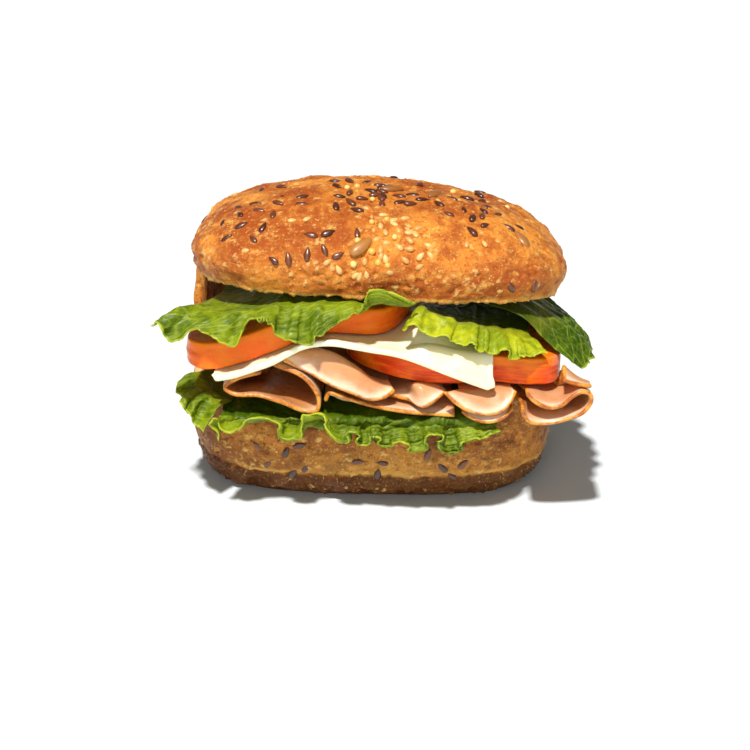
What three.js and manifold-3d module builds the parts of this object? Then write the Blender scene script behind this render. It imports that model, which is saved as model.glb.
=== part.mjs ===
// A turkey and swiss sandwich on a seeded whole-wheat roll. Millimetres, +Z up.
// The origin is the middle of the flat underside, and the open front faces -Y.
import * as THREE from 'three';
import { mergeVertices } from 'three/addons/utils/BufferGeometryUtils.js';
import Module from 'manifold-3d';

const wasm = await Module();
wasm.setup();

// ---- Driving dimensions -------------------------------------------------------------------
// Roll: outlines are superellipses with these half lengths and half depths.
const ROLL_HALF_LENGTH = 61.4;
const ROLL_HALF_DEPTH = 43;
const ROLL_SQUARENESS = 3.2;
const ROLL_COLUMNS = 40;
// Wall of the bottom half, from the flat underside up: height, half length, half depth.
const HEEL_WALL = [
  [0, 54.4, 33.2],
  [2.6, 57, 36.8],
  [7, 59, 39.8],
  [15, 60.2, 42.2],
  [25, 60.4, 43],
  [36, 60.2, 42.8],
  [64, 61.4, 41.5],
];
const HEEL_SHIFT = -1.4;
const HEEL_CUT_HEIGHT = 37.4;
const HEEL_CUT_RISE_BACK = 0.07;
const HEEL_CUT_RISE_RIGHT = 0.03;
// The crust stands up at the back left, where the roll was cut last.
// It starts at a share of the way out, and fades to both sides of its middle, in degrees.
const LIP_START = 0.9;
const LIP_RAMP = 0.06;
const LIP_MIDDLE = 161;
const LIP_SPAN = 27;
const LIP_FADE = 21;
const LIP_GAP = 1.2;

// Top half: a plane cut below, then a tucked edge that swells out and closes over the top.
const CROWN_CUT_HEIGHT = 68.3;
const CROWN_CUT_PITCH = 0.139;
const CROWN_CUT_TILT = 0.03;
const CROWN_RISE = 30;
const CROWN_WIDEST = 0.22;
const CROWN_TUCK = 0.032;
const CROWN_ROUNDNESS = 1.96;
const CROWN_LEAN = 0.012;

// Broad and close unevenness of the baked surface.
const SWELL_BROAD = 0.75;
const SWELL_CLOSE = 0.3;

const LEAF_THICKNESS = 0.8;
const TURKEY_THICKNESS = 1.3;
const CHEESE_THICKNESS = 2;
const TOMATO_THICKNESS = 9.4;
const TOMATO_TAPER = 0.06;
const TOMATO_COLUMNS = 30;

// ---- Colours --------------------------------------------------------------------------------
const finish = (color, roughness) => new THREE.MeshStandardMaterial({ color, roughness, metalness: 0 });
const CRUST = finish(0xb9743a, 0.75);
const HEEL_CRUST = finish(0xa56c38, 0.8);
const LETTUCE = finish(0x6fa21f, 0.4);
const TURKEY = finish(0xe9cbb5, 0.5);
const CHEESE = finish(0xfbf1cf, 0.45);
const TOMATO = finish(0xe05a2b, 0.3);

// ---- Small helpers --------------------------------------------------------------------------
const clamp01 = (value) => Math.min(1, Math.max(0, value));
const smooth = (value) => {
  const t = clamp01(value);
  return t * t * (3 - 2 * t);
};
const mix = (a, b, t) => a + (b - a) * t;
const radians = THREE.MathUtils.degToRad;

// A repeatable stream of numbers in 0..1.
function seededRandom(seed) {
  let state = seed >>> 0;
  return () => {
    state = (Math.imul(state, 1664525) + 1013904223) >>> 0;
    return state / 4294967296;
  };
}

function curveThrough(rows) {
  const points = rows.map(([x, y, z]) => new THREE.Vector3(x, y, z));
  return new THREE.CatmullRomCurve3(points, false, 'centripetal');
}

// Straight-line table lookup: rows of [key, value, value...].
function tableAt(rows, key) {
  let i = 0;
  while (i < rows.length - 2 && key > rows[i + 1][0]) i += 1;
  const t = clamp01((key - rows[i][0]) / (rows[i + 1][0] - rows[i][0]));
  return rows[i].slice(1).map((value, k) => mix(value, rows[i + 1][k + 1], t));
}

// ---- Solids ---------------------------------------------------------------------------------
function geometryFrom(positions, triangles) {
  const geometry = new THREE.BufferGeometry();
  geometry.setAttribute('position', new THREE.Float32BufferAttribute(positions, 3));
  geometry.setIndex(triangles);
  return geometry;
}

function toManifold(geometry) {
  const bare = geometry.clone();
  bare.deleteAttribute('normal');
  bare.deleteAttribute('uv');
  const merged = mergeVertices(bare, 1e-4);
  return new wasm.Manifold(new wasm.Mesh({
    numProp: 3,
    vertProperties: new Float32Array(merged.attributes.position.array),
    triVerts: new Uint32Array(merged.index.array),
  }));
}

function fromManifold(solid) {
  const mesh = solid.getMesh();
  return geometryFrom(Array.from(mesh.vertProperties), Array.from(mesh.triVerts));
}

// A thin closed solid round a middle surface at(u, v): columns along u, rows along v.
function sheet(columns, rows, at, thickness, rowPlaces = null) {
  const positions = [];
  const triangles = [];
  const step = 1e-3;
  const width = columns + 1;
  const layer = width * (rows + 1);
  const middles = [];
  const normals = [];
  for (let j = 0; j <= rows; j += 1) {
    const v = rowPlaces ? rowPlaces[j] : j / rows;
    for (let i = 0; i <= columns; i += 1) {
      const u = i / columns;
      const alongU = at(Math.min(1, u + step), v).sub(at(Math.max(0, u - step), v));
      const alongV = at(u, Math.min(1, v + step)).sub(at(u, Math.max(0, v - step)));
      middles.push(at(u, v));
      normals.push(alongU.cross(alongV).normalize());
    }
  }
  for (const side of [0.5, -0.5]) {
    middles.forEach((middle, k) => {
      const p = middle.clone().addScaledVector(normals[k], side * thickness);
      positions.push(p.x, p.y, p.z);
    });
  }
  const quad = (a, b, c, d) => triangles.push(a, b, c, a, c, d);
  for (let j = 0; j < rows; j += 1) {
    for (let i = 0; i < columns; i += 1) {
      const k = j * width + i;
      quad(k, k + 1, k + 1 + width, k + width);
      triangles.push(layer + k, layer + k + 1 + width, layer + k + 1);
      triangles.push(layer + k, layer + k + width, layer + k + 1 + width);
    }
  }
  const lastRow = rows * width;
  for (let i = 0; i < columns; i += 1) {
    quad(i + 1, i, layer + i, layer + i + 1);
    quad(lastRow + i, lastRow + i + 1, layer + lastRow + i + 1, layer + lastRow + i);
  }
  for (let j = 0; j < rows; j += 1) {
    const k = j * width;
    quad(k, k + width, layer + k + width, layer + k);
    quad(k + columns + width, k + columns, layer + k + columns, layer + k + columns + width);
  }
  return geometryFrom(positions, triangles);
}

// A closed solid of stacked rings: ring(j, i) gives points, closed at both ends by a middle point.
function ringSolid(columns, rings, firstMiddle, lastMiddle, ring) {
  const positions = [firstMiddle.x, firstMiddle.y, firstMiddle.z];
  const triangles = [];
  for (let j = 0; j < rings; j += 1) {
    for (let i = 0; i < columns; i += 1) {
      const p = ring(j, i);
      positions.push(p.x, p.y, p.z);
    }
  }
  positions.push(lastMiddle.x, lastMiddle.y, lastMiddle.z);
  const last = 1 + rings * columns;
  for (let i = 0; i < columns; i += 1) {
    const next = (i + 1) % columns;
    triangles.push(0, 1 + next, 1 + i);
    for (let j = 0; j < rings - 1; j += 1) {
      const a = 1 + j * columns;
      triangles.push(a + i, a + next, a + columns + next);
      triangles.push(a + i, a + columns + next, a + columns + i);
    }
    const a = 1 + (rings - 1) * columns;
    triangles.push(a + i, a + next, last);
  }
  return geometryFrom(positions, triangles);
}

// ---- The roll -------------------------------------------------------------------------------
// Distance from the middle to a superellipse's outline, in the direction of an angle in degrees.
function outline(halfLength, halfDepth, degrees, squareness = ROLL_SQUARENESS) {
  const c = Math.abs(Math.cos(radians(degrees))) / halfLength;
  const s = Math.abs(Math.sin(radians(degrees))) / halfDepth;
  return (c ** squareness + s ** squareness) ** (-1 / squareness);
}

function unevenness(x, y, z) {
  const broad = Math.sin(0.093 * x + 1.7) * Math.sin(0.11 * y + 0.4) * Math.sin(0.13 * z + 2.1);
  const close = Math.sin(0.31 * x + 0.9 * Math.sin(0.2 * z)) * Math.sin(0.29 * y + 0.27 * z + 1.3);
  return SWELL_BROAD * broad + SWELL_CLOSE * close;
}

const heelCut = (x, y) => HEEL_CUT_HEIGHT + HEEL_CUT_RISE_BACK * y + HEEL_CUT_RISE_RIGHT * x;
const crownCut = (x, y) => CROWN_CUT_HEIGHT - CROWN_CUT_PITCH * y - CROWN_CUT_TILT * x;

// Height of the bottom half's cut face at an angle and a share of the way out to the crust.
function heelTop(degrees, share, x, y) {
  let turn = Math.abs(degrees - LIP_MIDDLE);
  turn = Math.min(turn, 360 - turn);
  const around = smooth((LIP_SPAN - turn) / LIP_FADE);
  const out = smooth((share - LIP_START) / LIP_RAMP);
  const full = crownCut(x, y) - LIP_GAP - heelCut(x, y);
  return heelCut(x, y) + around * out * full;
}

function heelPoint(degrees, height, share = 1) {
  const [halfLength, halfDepth] = tableAt(HEEL_WALL, height);
  const r = outline(halfLength, halfDepth, degrees) * share;
  const x = r * Math.cos(radians(degrees));
  const y = r * Math.sin(radians(degrees));
  const swell = height > 0.5 ? unevenness(x, y, height) * share : 0;
  const k = (r + swell) / Math.max(r, 1e-6);
  return new THREE.Vector3(x * k + HEEL_SHIFT, y * k, height);
}

function heelEdgeHeight(degrees) {
  let height = HEEL_CUT_HEIGHT;
  for (let pass = 0; pass < 4; pass += 1) {
    const p = heelPoint(degrees, height);
    height = heelTop(degrees, 1, p.x, p.y);
  }
  return height;
}

const HEEL_STOPS = [0, 1.4, 3.6, 7.2, 13.5, 20.5, 28, 34];

function bottomRoll() {
  const wallShares = HEEL_STOPS.map((height) => height / HEEL_STOPS.at(-1));
  const faceShares = [0.94, 0.88, 0.8, 0.5];
  const ring = (j, i) => {
    const degrees = (360 * i) / ROLL_COLUMNS;
    const edge = heelEdgeHeight(degrees);
    if (j < wallShares.length) return heelPoint(degrees, edge * wallShares[j]);
    const share = faceShares[j - wallShares.length];
    const p = heelPoint(degrees, edge, 1);
    const x = p.x * share;
    const y = p.y * share;
    return new THREE.Vector3(x, y, heelTop(degrees, share, x, y));
  };
  const rings = wallShares.length + faceShares.length;
  const middle = new THREE.Vector3(0, 0, HEEL_CUT_HEIGHT);
  return ringSolid(ROLL_COLUMNS, rings, new THREE.Vector3(0, 0, 0), middle, ring);
}

// A point of the crown's skin: climb runs from 0 at the cut edge to 1 at the middle of the top.
function crownPoint(degrees, climb) {
  let share;
  let lift;
  if (climb < CROWN_WIDEST) {
    const t = climb / CROWN_WIDEST;
    share = 1 - CROWN_TUCK * (1 - Math.sin((Math.PI / 2) * t));
    lift = CROWN_WIDEST * t;
  } else {
    const a = ((climb - CROWN_WIDEST) / (1 - CROWN_WIDEST)) * (Math.PI / 2);
    share = Math.cos(a) ** (2 / CROWN_ROUNDNESS);
    lift = CROWN_WIDEST + (1 - CROWN_WIDEST) * Math.sin(a) ** (2 / CROWN_ROUNDNESS);
  }
  const r = outline(ROLL_HALF_LENGTH, ROLL_HALF_DEPTH, degrees) * share;
  const x = r * Math.cos(radians(degrees));
  const y = r * Math.sin(radians(degrees));
  const up = CROWN_RISE * lift;
  const swell = unevenness(x, y, up + 60);
  const k = 1 + (swell * share) / Math.max(r, 10);
  const lean = -CROWN_LEAN * x * lift;
  return new THREE.Vector3(x * k, y * k, crownCut(x, y) + up + lean + swell * lift);
}

const CROWN_CLIMBS = [0, 0.08, 0.16, 0.3, 0.42, 0.54, 0.66, 0.78, 0.9, 1];

function topRoll() {
  const climbs = CROWN_CLIMBS.slice(0, -1);
  const faceShares = [0.7, 0.3];
  const ring = (j, i) => {
    const degrees = (360 * i) / ROLL_COLUMNS;
    const k = j - faceShares.length;
    if (k >= 0) return crownPoint(degrees, climbs[k]);
    const edge = crownPoint(degrees, 0);
    const share = faceShares[faceShares.length - 1 - j];
    const x = edge.x * share;
    const y = edge.y * share;
    return new THREE.Vector3(x, y, crownCut(x, y));
  };
  const low = new THREE.Vector3(0, 0, CROWN_CUT_HEIGHT);
  return ringSolid(ROLL_COLUMNS, climbs.length + faceShares.length, low, crownPoint(0, 1), ring);
}

// ---- Seeds ----------------------------------------------------------------------------------
// Full length, width and height of each kind of seed.
const SEED_KINDS = {
  flax: [4.6, 2.5, 1.7],
  sesame: [3, 2, 1.4],
  millet: [2.1, 2.1, 1.9],
  kernel: [8.6, 4.4, 3],
};
// Where seeds lie on the crown: kind, count, angle, climb, and the spread of each.
const CROWN_SEEDS = [
  ['kernel', 1, 262, 0.44, 1, 0.01],
  ['kernel', 1, 331, 0.5, 1, 0.01],
  ['kernel', 2, 318, 0.88, 22, 0.05],
  ['flax', 9, 211, 0.57, 11, 0.14],
  ['flax', 2, 233, 0.33, 4, 0.02],
  ['flax', 6, 250, 0.44, 12, 0.1],
  ['flax', 7, 240, 0.8, 13, 0.1],
  ['flax', 7, 280, 0.84, 20, 0.08],
  ['flax', 9, 328, 0.68, 11, 0.12],
  ['flax', 2, 322, 0.22, 8, 0.05],
  ['flax', 5, 90, 0.5, 84, 0.3],
  ['sesame', 14, 279, 0.5, 10, 0.14],
  ['sesame', 4, 260, 0.3, 9, 0.06],
  ['sesame', 3, 320, 0.52, 12, 0.04],
  ['sesame', 4, 90, 0.5, 84, 0.3],
  ['millet', 5, 264, 0.42, 7, 0.1],
];
// The same for the bottom half, with a height in place of the climb.
const HEEL_SEEDS = [
  ['flax', 6, 236, 17, 12, 7],
  ['flax', 3, 268, 14, 12, 4],
  ['flax', 5, 305, 17, 12, 7],
  ['flax', 5, 90, 20, 70, 9],
];
// Share of a seed's height that is sunk into the crust.
const CROWN_SEED_SUNK = 0.4;
const HEEL_SEED_SUNK = 0.66;

// The flat-sided surface that the solid has, between the stops along which its rings were taken.
function faceted(surface, stops) {
  return (degrees, along) => {
    let j = 0;
    while (j < stops.length - 2 && along > stops[j + 1]) j += 1;
    const v = (along - stops[j]) / (stops[j + 1] - stops[j]);
    const column = Math.floor((degrees / 360) * ROLL_COLUMNS);
    const u = (degrees / 360) * ROLL_COLUMNS - column;
    const corner = (i, k) => surface((360 * i) / ROLL_COLUMNS, stops[k]);
    const low = corner(column, j).lerp(corner(column + 1, j), u);
    return low.lerp(corner(column, j + 1).lerp(corner(column + 1, j + 1), u), v);
  };
}

function seedsOn(rows, seed, surface, sunk) {
  const random = seededRandom(seed);
  const solids = [];
  const kept = [];
  for (const [kind, count, angle, place, angleSpread, placeSpread] of rows) {
    const [length, width, height] = SEED_KINDS[kind];
    for (let n = 0; n < count; n += 1) {
      let degrees;
      let along;
      let p;
      for (let attempt = 0; attempt < 12; attempt += 1) {
        degrees = angle + angleSpread * (2 * random() - 1);
        along = place + placeSpread * (2 * random() - 1);
        p = surface(degrees, along);
        if (kept.every((q) => q.distanceTo(p) > length)) break;
      }
      kept.push(p);
      const acrossStep = surface(degrees + 0.5, along).sub(p);
      const upStep = surface(degrees, along + (along < 1 ? 0.004 : 0.2)).sub(p);
      const normal = acrossStep.clone().cross(upStep).normalize();
      const spin = random() * Math.PI;
      const side = acrossStep.normalize();
      const forward = normal.clone().cross(side);
      const long = side.clone().multiplyScalar(Math.cos(spin)).addScaledVector(forward, Math.sin(spin));
      const short = normal.clone().cross(long);
      const body = kind === 'flax' || kind === 'kernel'
        ? new THREE.IcosahedronGeometry(0.5, 0)
        : new THREE.OctahedronGeometry(0.5, 0);
      const size = 0.88 + 0.24 * random();
      const frame = new THREE.Matrix4().makeBasis(long, short, normal);
      frame.scale(new THREE.Vector3(length * size, width * size, height * size));
      frame.setPosition(p.clone().addScaledVector(normal, height * (0.5 - sunk)));
      body.applyMatrix4(frame);
      solids.push(toManifold(body));
    }
  }
  return solids;
}

function seeded(rollGeometry, seeds) {
  return fromManifold(wasm.Manifold.union([toManifold(rollGeometry), ...seeds]));
}

// ---- Layer heights --------------------------------------------------------------------------
// The layers lean back a little from here, the front of the roll.
const FRONT = -44;
const TOMATO_RIGHT_BASE = 46.4;
const TOMATO_RIGHT_RISE = 0.035;
const CHEESE_GAP = 0.4;
const TOMATO_LEFT_GAP = 0.8;
// The cheese falls from the right tomato to this height at its left end, and rises in a soft
// bend over the turkey's folds: height, middle, width, and the length that it dies away in.
const CHEESE_LOW = 46.2;
const CHEESE_LOW_AT = -58;
const CHEESE_FALL_LENGTH = 42;
const CHEESE_BEND = 4;
const CHEESE_BEND_AT = -17;
const CHEESE_BEND_WIDTH = 15;
const CHEESE_BEND_LENGTH = 26;
// Behind its front edge it arches up between the two tomatoes: height, middle, width, where it
// starts and how long it climbs, and where it sinks again and how long that takes.
const CHEESE_ARCH = 6;
const CHEESE_ARCH_AT = 17;
const CHEESE_ARCH_WIDTH = 8;
const CHEESE_ARCH_START = -50;
const CHEESE_ARCH_CLIMB = 14;
const CHEESE_ARCH_END = -28;
const CHEESE_ARCH_FALL = 24;

const tomatoThickness = (y) => TOMATO_THICKNESS - TOMATO_TAPER * (y - FRONT);
const rightTomatoBase = (x, y) => TOMATO_RIGHT_BASE + TOMATO_RIGHT_RISE * (y - FRONT);

function cheeseArch(x, y) {
  const across = Math.exp(-(((x - CHEESE_ARCH_AT) / CHEESE_ARCH_WIDTH) ** 2));
  const climb = smooth((y - CHEESE_ARCH_START) / CHEESE_ARCH_CLIMB);
  return CHEESE_ARCH * across * climb * (1 - smooth((y - CHEESE_ARCH_END) / CHEESE_ARCH_FALL));
}

function cheeseBase(x, y) {
  const level = rightTomatoBase(x, y) + tomatoThickness(y) + CHEESE_GAP;
  const fall = smooth((x - CHEESE_LOW_AT) / CHEESE_FALL_LENGTH);
  const across = Math.exp(-(((x - CHEESE_BEND_AT) / CHEESE_BEND_WIDTH) ** 2));
  const bend = CHEESE_BEND * across * smooth((FRONT + CHEESE_BEND_LENGTH - y) / CHEESE_BEND_LENGTH);
  return mix(CHEESE_LOW, level, fall) + bend + cheeseArch(x, y);
}

const leftTomatoBase = (x, y) => cheeseBase(x, y) + CHEESE_THICKNESS + TOMATO_LEFT_GAP;

// ---- Tomatoes -------------------------------------------------------------------------------
// A slice is round, but for one corner where its end was cut off: an angle and a share of the radius.
const CORNER_SPREAD = 17;

function tomato(centreX, centreY, halfLength, halfDepth, base, turn, cornerAngle, corner) {
  // Share of the radius and level of each ring, from the middle of the underside up and over.
  const rows = [[0.45, 0], [0.75, 0], [0.96, 0.02], [1, 0.25], [1, 0.75], [0.96, 0.98], [0.5, 1]];
  const at = (degrees, share, level) => {
    const angle = radians(degrees);
    const wobble = 1 + 0.02 * Math.sin(3 * angle + turn) + 0.012 * Math.sin(7 * angle);
    const reach = wobble + corner * Math.exp(-(((degrees - cornerAngle) / CORNER_SPREAD) ** 2));
    const x = centreX + halfLength * share * reach * Math.cos(angle);
    const y = centreY + halfDepth * share * reach * Math.sin(angle);
    return new THREE.Vector3(x, y, base(x, y) + level * tomatoThickness(y));
  };
  const ring = (j, i) => at((360 * i) / TOMATO_COLUMNS, rows[j][0], rows[j][1]);
  return ringSolid(TOMATO_COLUMNS, rows.length, at(0, 0, 0), at(0, 0, 1), ring);
}

// ---- Cheese ---------------------------------------------------------------------------------
// Front edge of the cheese: how far out it reaches and how high it hangs.
const CHEESE_EDGE = [
  [-52.5, -47.5, 46.6], [-46.5, -49, 48.4], [-40.2, -49.5, 50.8], [-33.8, -50, 53.6],
  [-29, -50, 56.6], [-25, -50, 59], [-21, -50, 60.4], [-15, -50, 60.9],
  [-8.5, -50, 60.1], [-0.6, -50, 58.8],
  [7.3, -50, 57.2], [15.3, -50, 54.3], [23.4, -50.5, 51.3], [31.4, -51, 48.4], [37, -51, 46.4],
];
const CHEESE_BACK = 41;
const CHEESE_BACK_SLANT = 8;
const CHEESE_SHIFT_LEFT = 7;
const CHEESE_SHIFT_RIGHT = 2;
const CHEESE_FOLD = 1.2;

function cheese() {
  const edge = curveThrough(CHEESE_EDGE);
  const at = (u, v) => {
    const front = edge.getPoint(u);
    const x = front.x + v * mix(CHEESE_SHIFT_LEFT, CHEESE_SHIFT_RIGHT, u);
    const y = mix(front.y, CHEESE_BACK - CHEESE_BACK_SLANT * (1 - u), v);
    const drop = front.z - cheeseBase(front.x, FRONT);
    const droop = 1 - smooth((y - front.y) / Math.max(1, FRONT - CHEESE_FOLD - front.y));
    const z = cheeseBase(x, Math.max(y, FRONT)) + CHEESE_THICKNESS / 2 + drop * droop;
    return new THREE.Vector3(x, y, z);
  };
  const rows = [0, 0.018, 0.036, 0.054, 0.07, 0.14, 0.24, 0.36, 0.6, 1];
  return sheet(14, rows.length - 1, at, CHEESE_THICKNESS, rows);
}

// ---- Turkey ---------------------------------------------------------------------------------
// The slices lie in lanes over the bottom half's cut face.
const LANE_FIRST = 2.6;
const LANE_PITCH = 1.65;
// Each slice by its edge at the open front, from one end to the other. A row holds the edge's
// x, y, z, the crest that the slice passes over behind it as dx, dy, dz, and its lane in the
// stack that runs to the back.
const SLICES = {
  turkey_fold_left: [
    [-33, -47, 52.6, 0, 6, 0, 3], [-25.5, -48.5, 50.6, 0, 6, 0, 3], [-21, -50, 47.4, 0, 6, 0, 2.6],
    [-18.4, -51, 42.4, 0, 6, 0, 1.8], [-19.2, -51, 38.4, 0, 6, 0, 1.2], [-23.4, -50, 38, 0, 6, 0, 1],
    [-30, -50, 40.8, 0, 6, -1, 1], [-38, -49, 42.6, 0, 6, -1, 1], [-45.5, -48, 42.6, 0, 6, -1, 1],
    [-48.6, -47, 44.2, 0, 6, 0, 1.5], [-45, -46, 47, 0, 6, 0, 2], [-37, -45, 49.2, 0, 6, 0, 2],
  ],
  turkey_edge_middle: [
    [-16.4, -48, 40.8, 0, 6, 0, 1], [-15, -49, 44.4, 0, 6, -2, 1], [-10.6, -49, 43.4, 0, 6, -3, 1],
    [-3, -49, 40.4, 0, 6, -1, 1], [7.6, -49, 38.2, 0, 6, 0, 1], [15, -49, 37.4, 0, 6, 0.7, 1],
    [21, -48.5, 36.8, 0, 6, 1.4, 1], [25.4, -48, 36.4, 0, 6, 1.8, 1],
  ],
  turkey_drape_left: [
    [-30, -46.5, 54, 2, 4, 1.6, 4], [-22, -48, 50.6, 1, 4, 5.8, 4], [-14, -49.5, 46.8, 0, 5, 8.6, 4],
    [-8, -50, 44.6, 0, 5, 7.2, 4], [-2, -50, 42.2, 0, 5, 4.6, 4], [2.6, -49, 42.8, -1, 5, 2.2, 4],
    [6, -46, 44.2, -2, 6, 0.2, 4],
  ],
  turkey_drape_middle: [
    [-3, -40, 40.6, 0, 5, 0, 3], [4, -42, 40.6, 0, 6, 0.2, 3], [10, -45, 40.6, 0, 7, 1.6, 3],
    [15.2, -50, 40.2, -2.4, 4, 6, 3], [18.4, -50.2, 42, -2.4, 5, 4, 3], [21, -48.6, 43.8, -2, 5, 1.6, 3],
    [22.8, -46, 44.4, -1.4, 5, -1, 3],
  ],
  turkey_bowl_right: [
    [21.4, -50.8, 46.4, 5, 4.6, -1.2, 4], [24.4, -51.2, 43.2, 3.4, 4.6, 1.8, 4],
    [29, -51.6, 40.2, 1, 5, 4.8, 4], [35, -52, 38.8, 0, 6, 6.4, 4], [40, -51.6, 39.8, 0, 6, 5.4, 4],
    [43.4, -50, 42.8, -1, 6, 2.2, 4], [45, -46.5, 45.2, -2, 5, -0.4, 4],
  ],
  turkey_edge_right: [
    [27.6, -49.4, 39, 0, 6, 0.8, 2], [31, -51, 36.8, 0, 6, 2.6, 2], [37, -51.4, 35.8, 0, 6, 3.6, 2],
    [41.4, -50.6, 37.6, 0, 6, 2, 2], [44, -48, 40.2, 0, 6, -0.4, 2],
  ],
  turkey_fold_right: [
    [48, -51.6, 47.2, 0, 6, -2.6, 3], [50.7, -52.4, 44.3, 0, 6, 0, 3], [55, -52.6, 42.3, 0, 6, 0.6, 3],
    [59, -52.4, 43, 0, 6, 0, 3], [62.6, -52, 46.2, 0, 6, -1.4, 2.8], [65.8, -51.4, 47.6, 0, 6, -1.2, 2.4],
    [68.4, -51, 46.6, 0, 6, -1.8, 2], [68.8, -51, 43.8, 0, 6, 0, 1.5], [66.6, -51.2, 40.2, 0, 6, 0, 1.2],
    [61.6, -51.6, 37.6, 0, 6, 1.6, 1], [54.6, -52, 36, 0, 6, 2.6, 1], [48.8, -52.4, 37, 0, 6, 1.8, 1],
    [46.6, -52.6, 41.4, 0, 6, -0.6, 1.6],
  ],
  turkey_flap_right: [
    [59.6, -48.6, 50.2, 0, 6, 2.6, 4], [61.4, -49, 49.6, 0, 6, 1.4, 4], [64, -49.2, 49.2, 0, 6.4, -0.2, 4],
    [66.4, -49, 49, 0, 6, -1.2, 4], [69, -47.4, 48, -0.2, 6, -1.8, 3.8],
  ],
};
const SLICE_BACK = 39;
const SLICE_ROUND = 7;
const SLICE_CREST = 0.16;
// Towards the back a slice narrows by the first share, and beyond the reach by the second.
const SLICE_REACH = 38;
const SLICE_NARROWING = 0.94;
const SLICE_SQUEEZE = 0.55;
// How far back a slice runs, and how soon its two ends settle, where that isn't the rule.
const SLICE_RUN = {
  turkey_fold_left: [29, 3.2, 3.2],
  turkey_drape_left: [36, 2, 7],
  turkey_drape_middle: [SLICE_BACK, 5, 8],
  turkey_fold_right: [30, 5, 5],
  turkey_flap_right: [14, 10, 9],
};

function slice(rows, [back, settleStart, settleEnd] = [SLICE_BACK, 2.4, 2.4]) {
  const columns = 2 * rows.length - 1;
  const edge = curveThrough(rows);
  const crest = curveThrough(rows.map(([x, y, z, dx, dy, dz]) => [x + dx, y + dy, z + dz]));
  const lanes = curveThrough(rows.map((row, k) => [row[6], 2 * k, 0]));
  const at = (u, v) => {
    const p = edge.getPoint(u);
    const q = crest.getPoint(u);
    if (v <= SLICE_CREST) {
      const t = v / SLICE_CREST;
      const bow = Math.sin(t * Math.PI / 2);
      return new THREE.Vector3(mix(p.x, q.x, t), mix(p.y, q.y, t), mix(p.z, q.z, bow));
    }
    const t = (v - SLICE_CREST) / (1 - SLICE_CREST);
    const beyond = Math.max(0, Math.abs(q.x) - SLICE_REACH) * Math.sign(q.x);
    const inside = SLICE_NARROWING * (q.x - beyond) + SLICE_SQUEEZE * beyond;
    const x = mix(q.x, inside, smooth(2 * t));
    const y = mix(q.y, back - SLICE_ROUND * (2 * u - 1) ** 2, t);
    const lane = lanes.getPoint(u).x;
    const settled = heelCut(x, y) + LANE_FIRST + LANE_PITCH * (lane - 1);
    return new THREE.Vector3(x, y, mix(q.z, settled, smooth(t * mix(settleStart, settleEnd, u))));
  };
  const places = [0, 0.08, SLICE_CREST, 0.3, 0.55, 1];
  return sheet(columns, places.length - 1, at, TURKEY_THICKNESS, places);
}

// ---- Lettuce --------------------------------------------------------------------------------
// Each ruffle is a close wave and a slower one.
const RUFFLE = 0.85;
const SLOW_RUFFLE = 0.45;
const SLOW_RUFFLE_PACE = 0.53;
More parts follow.
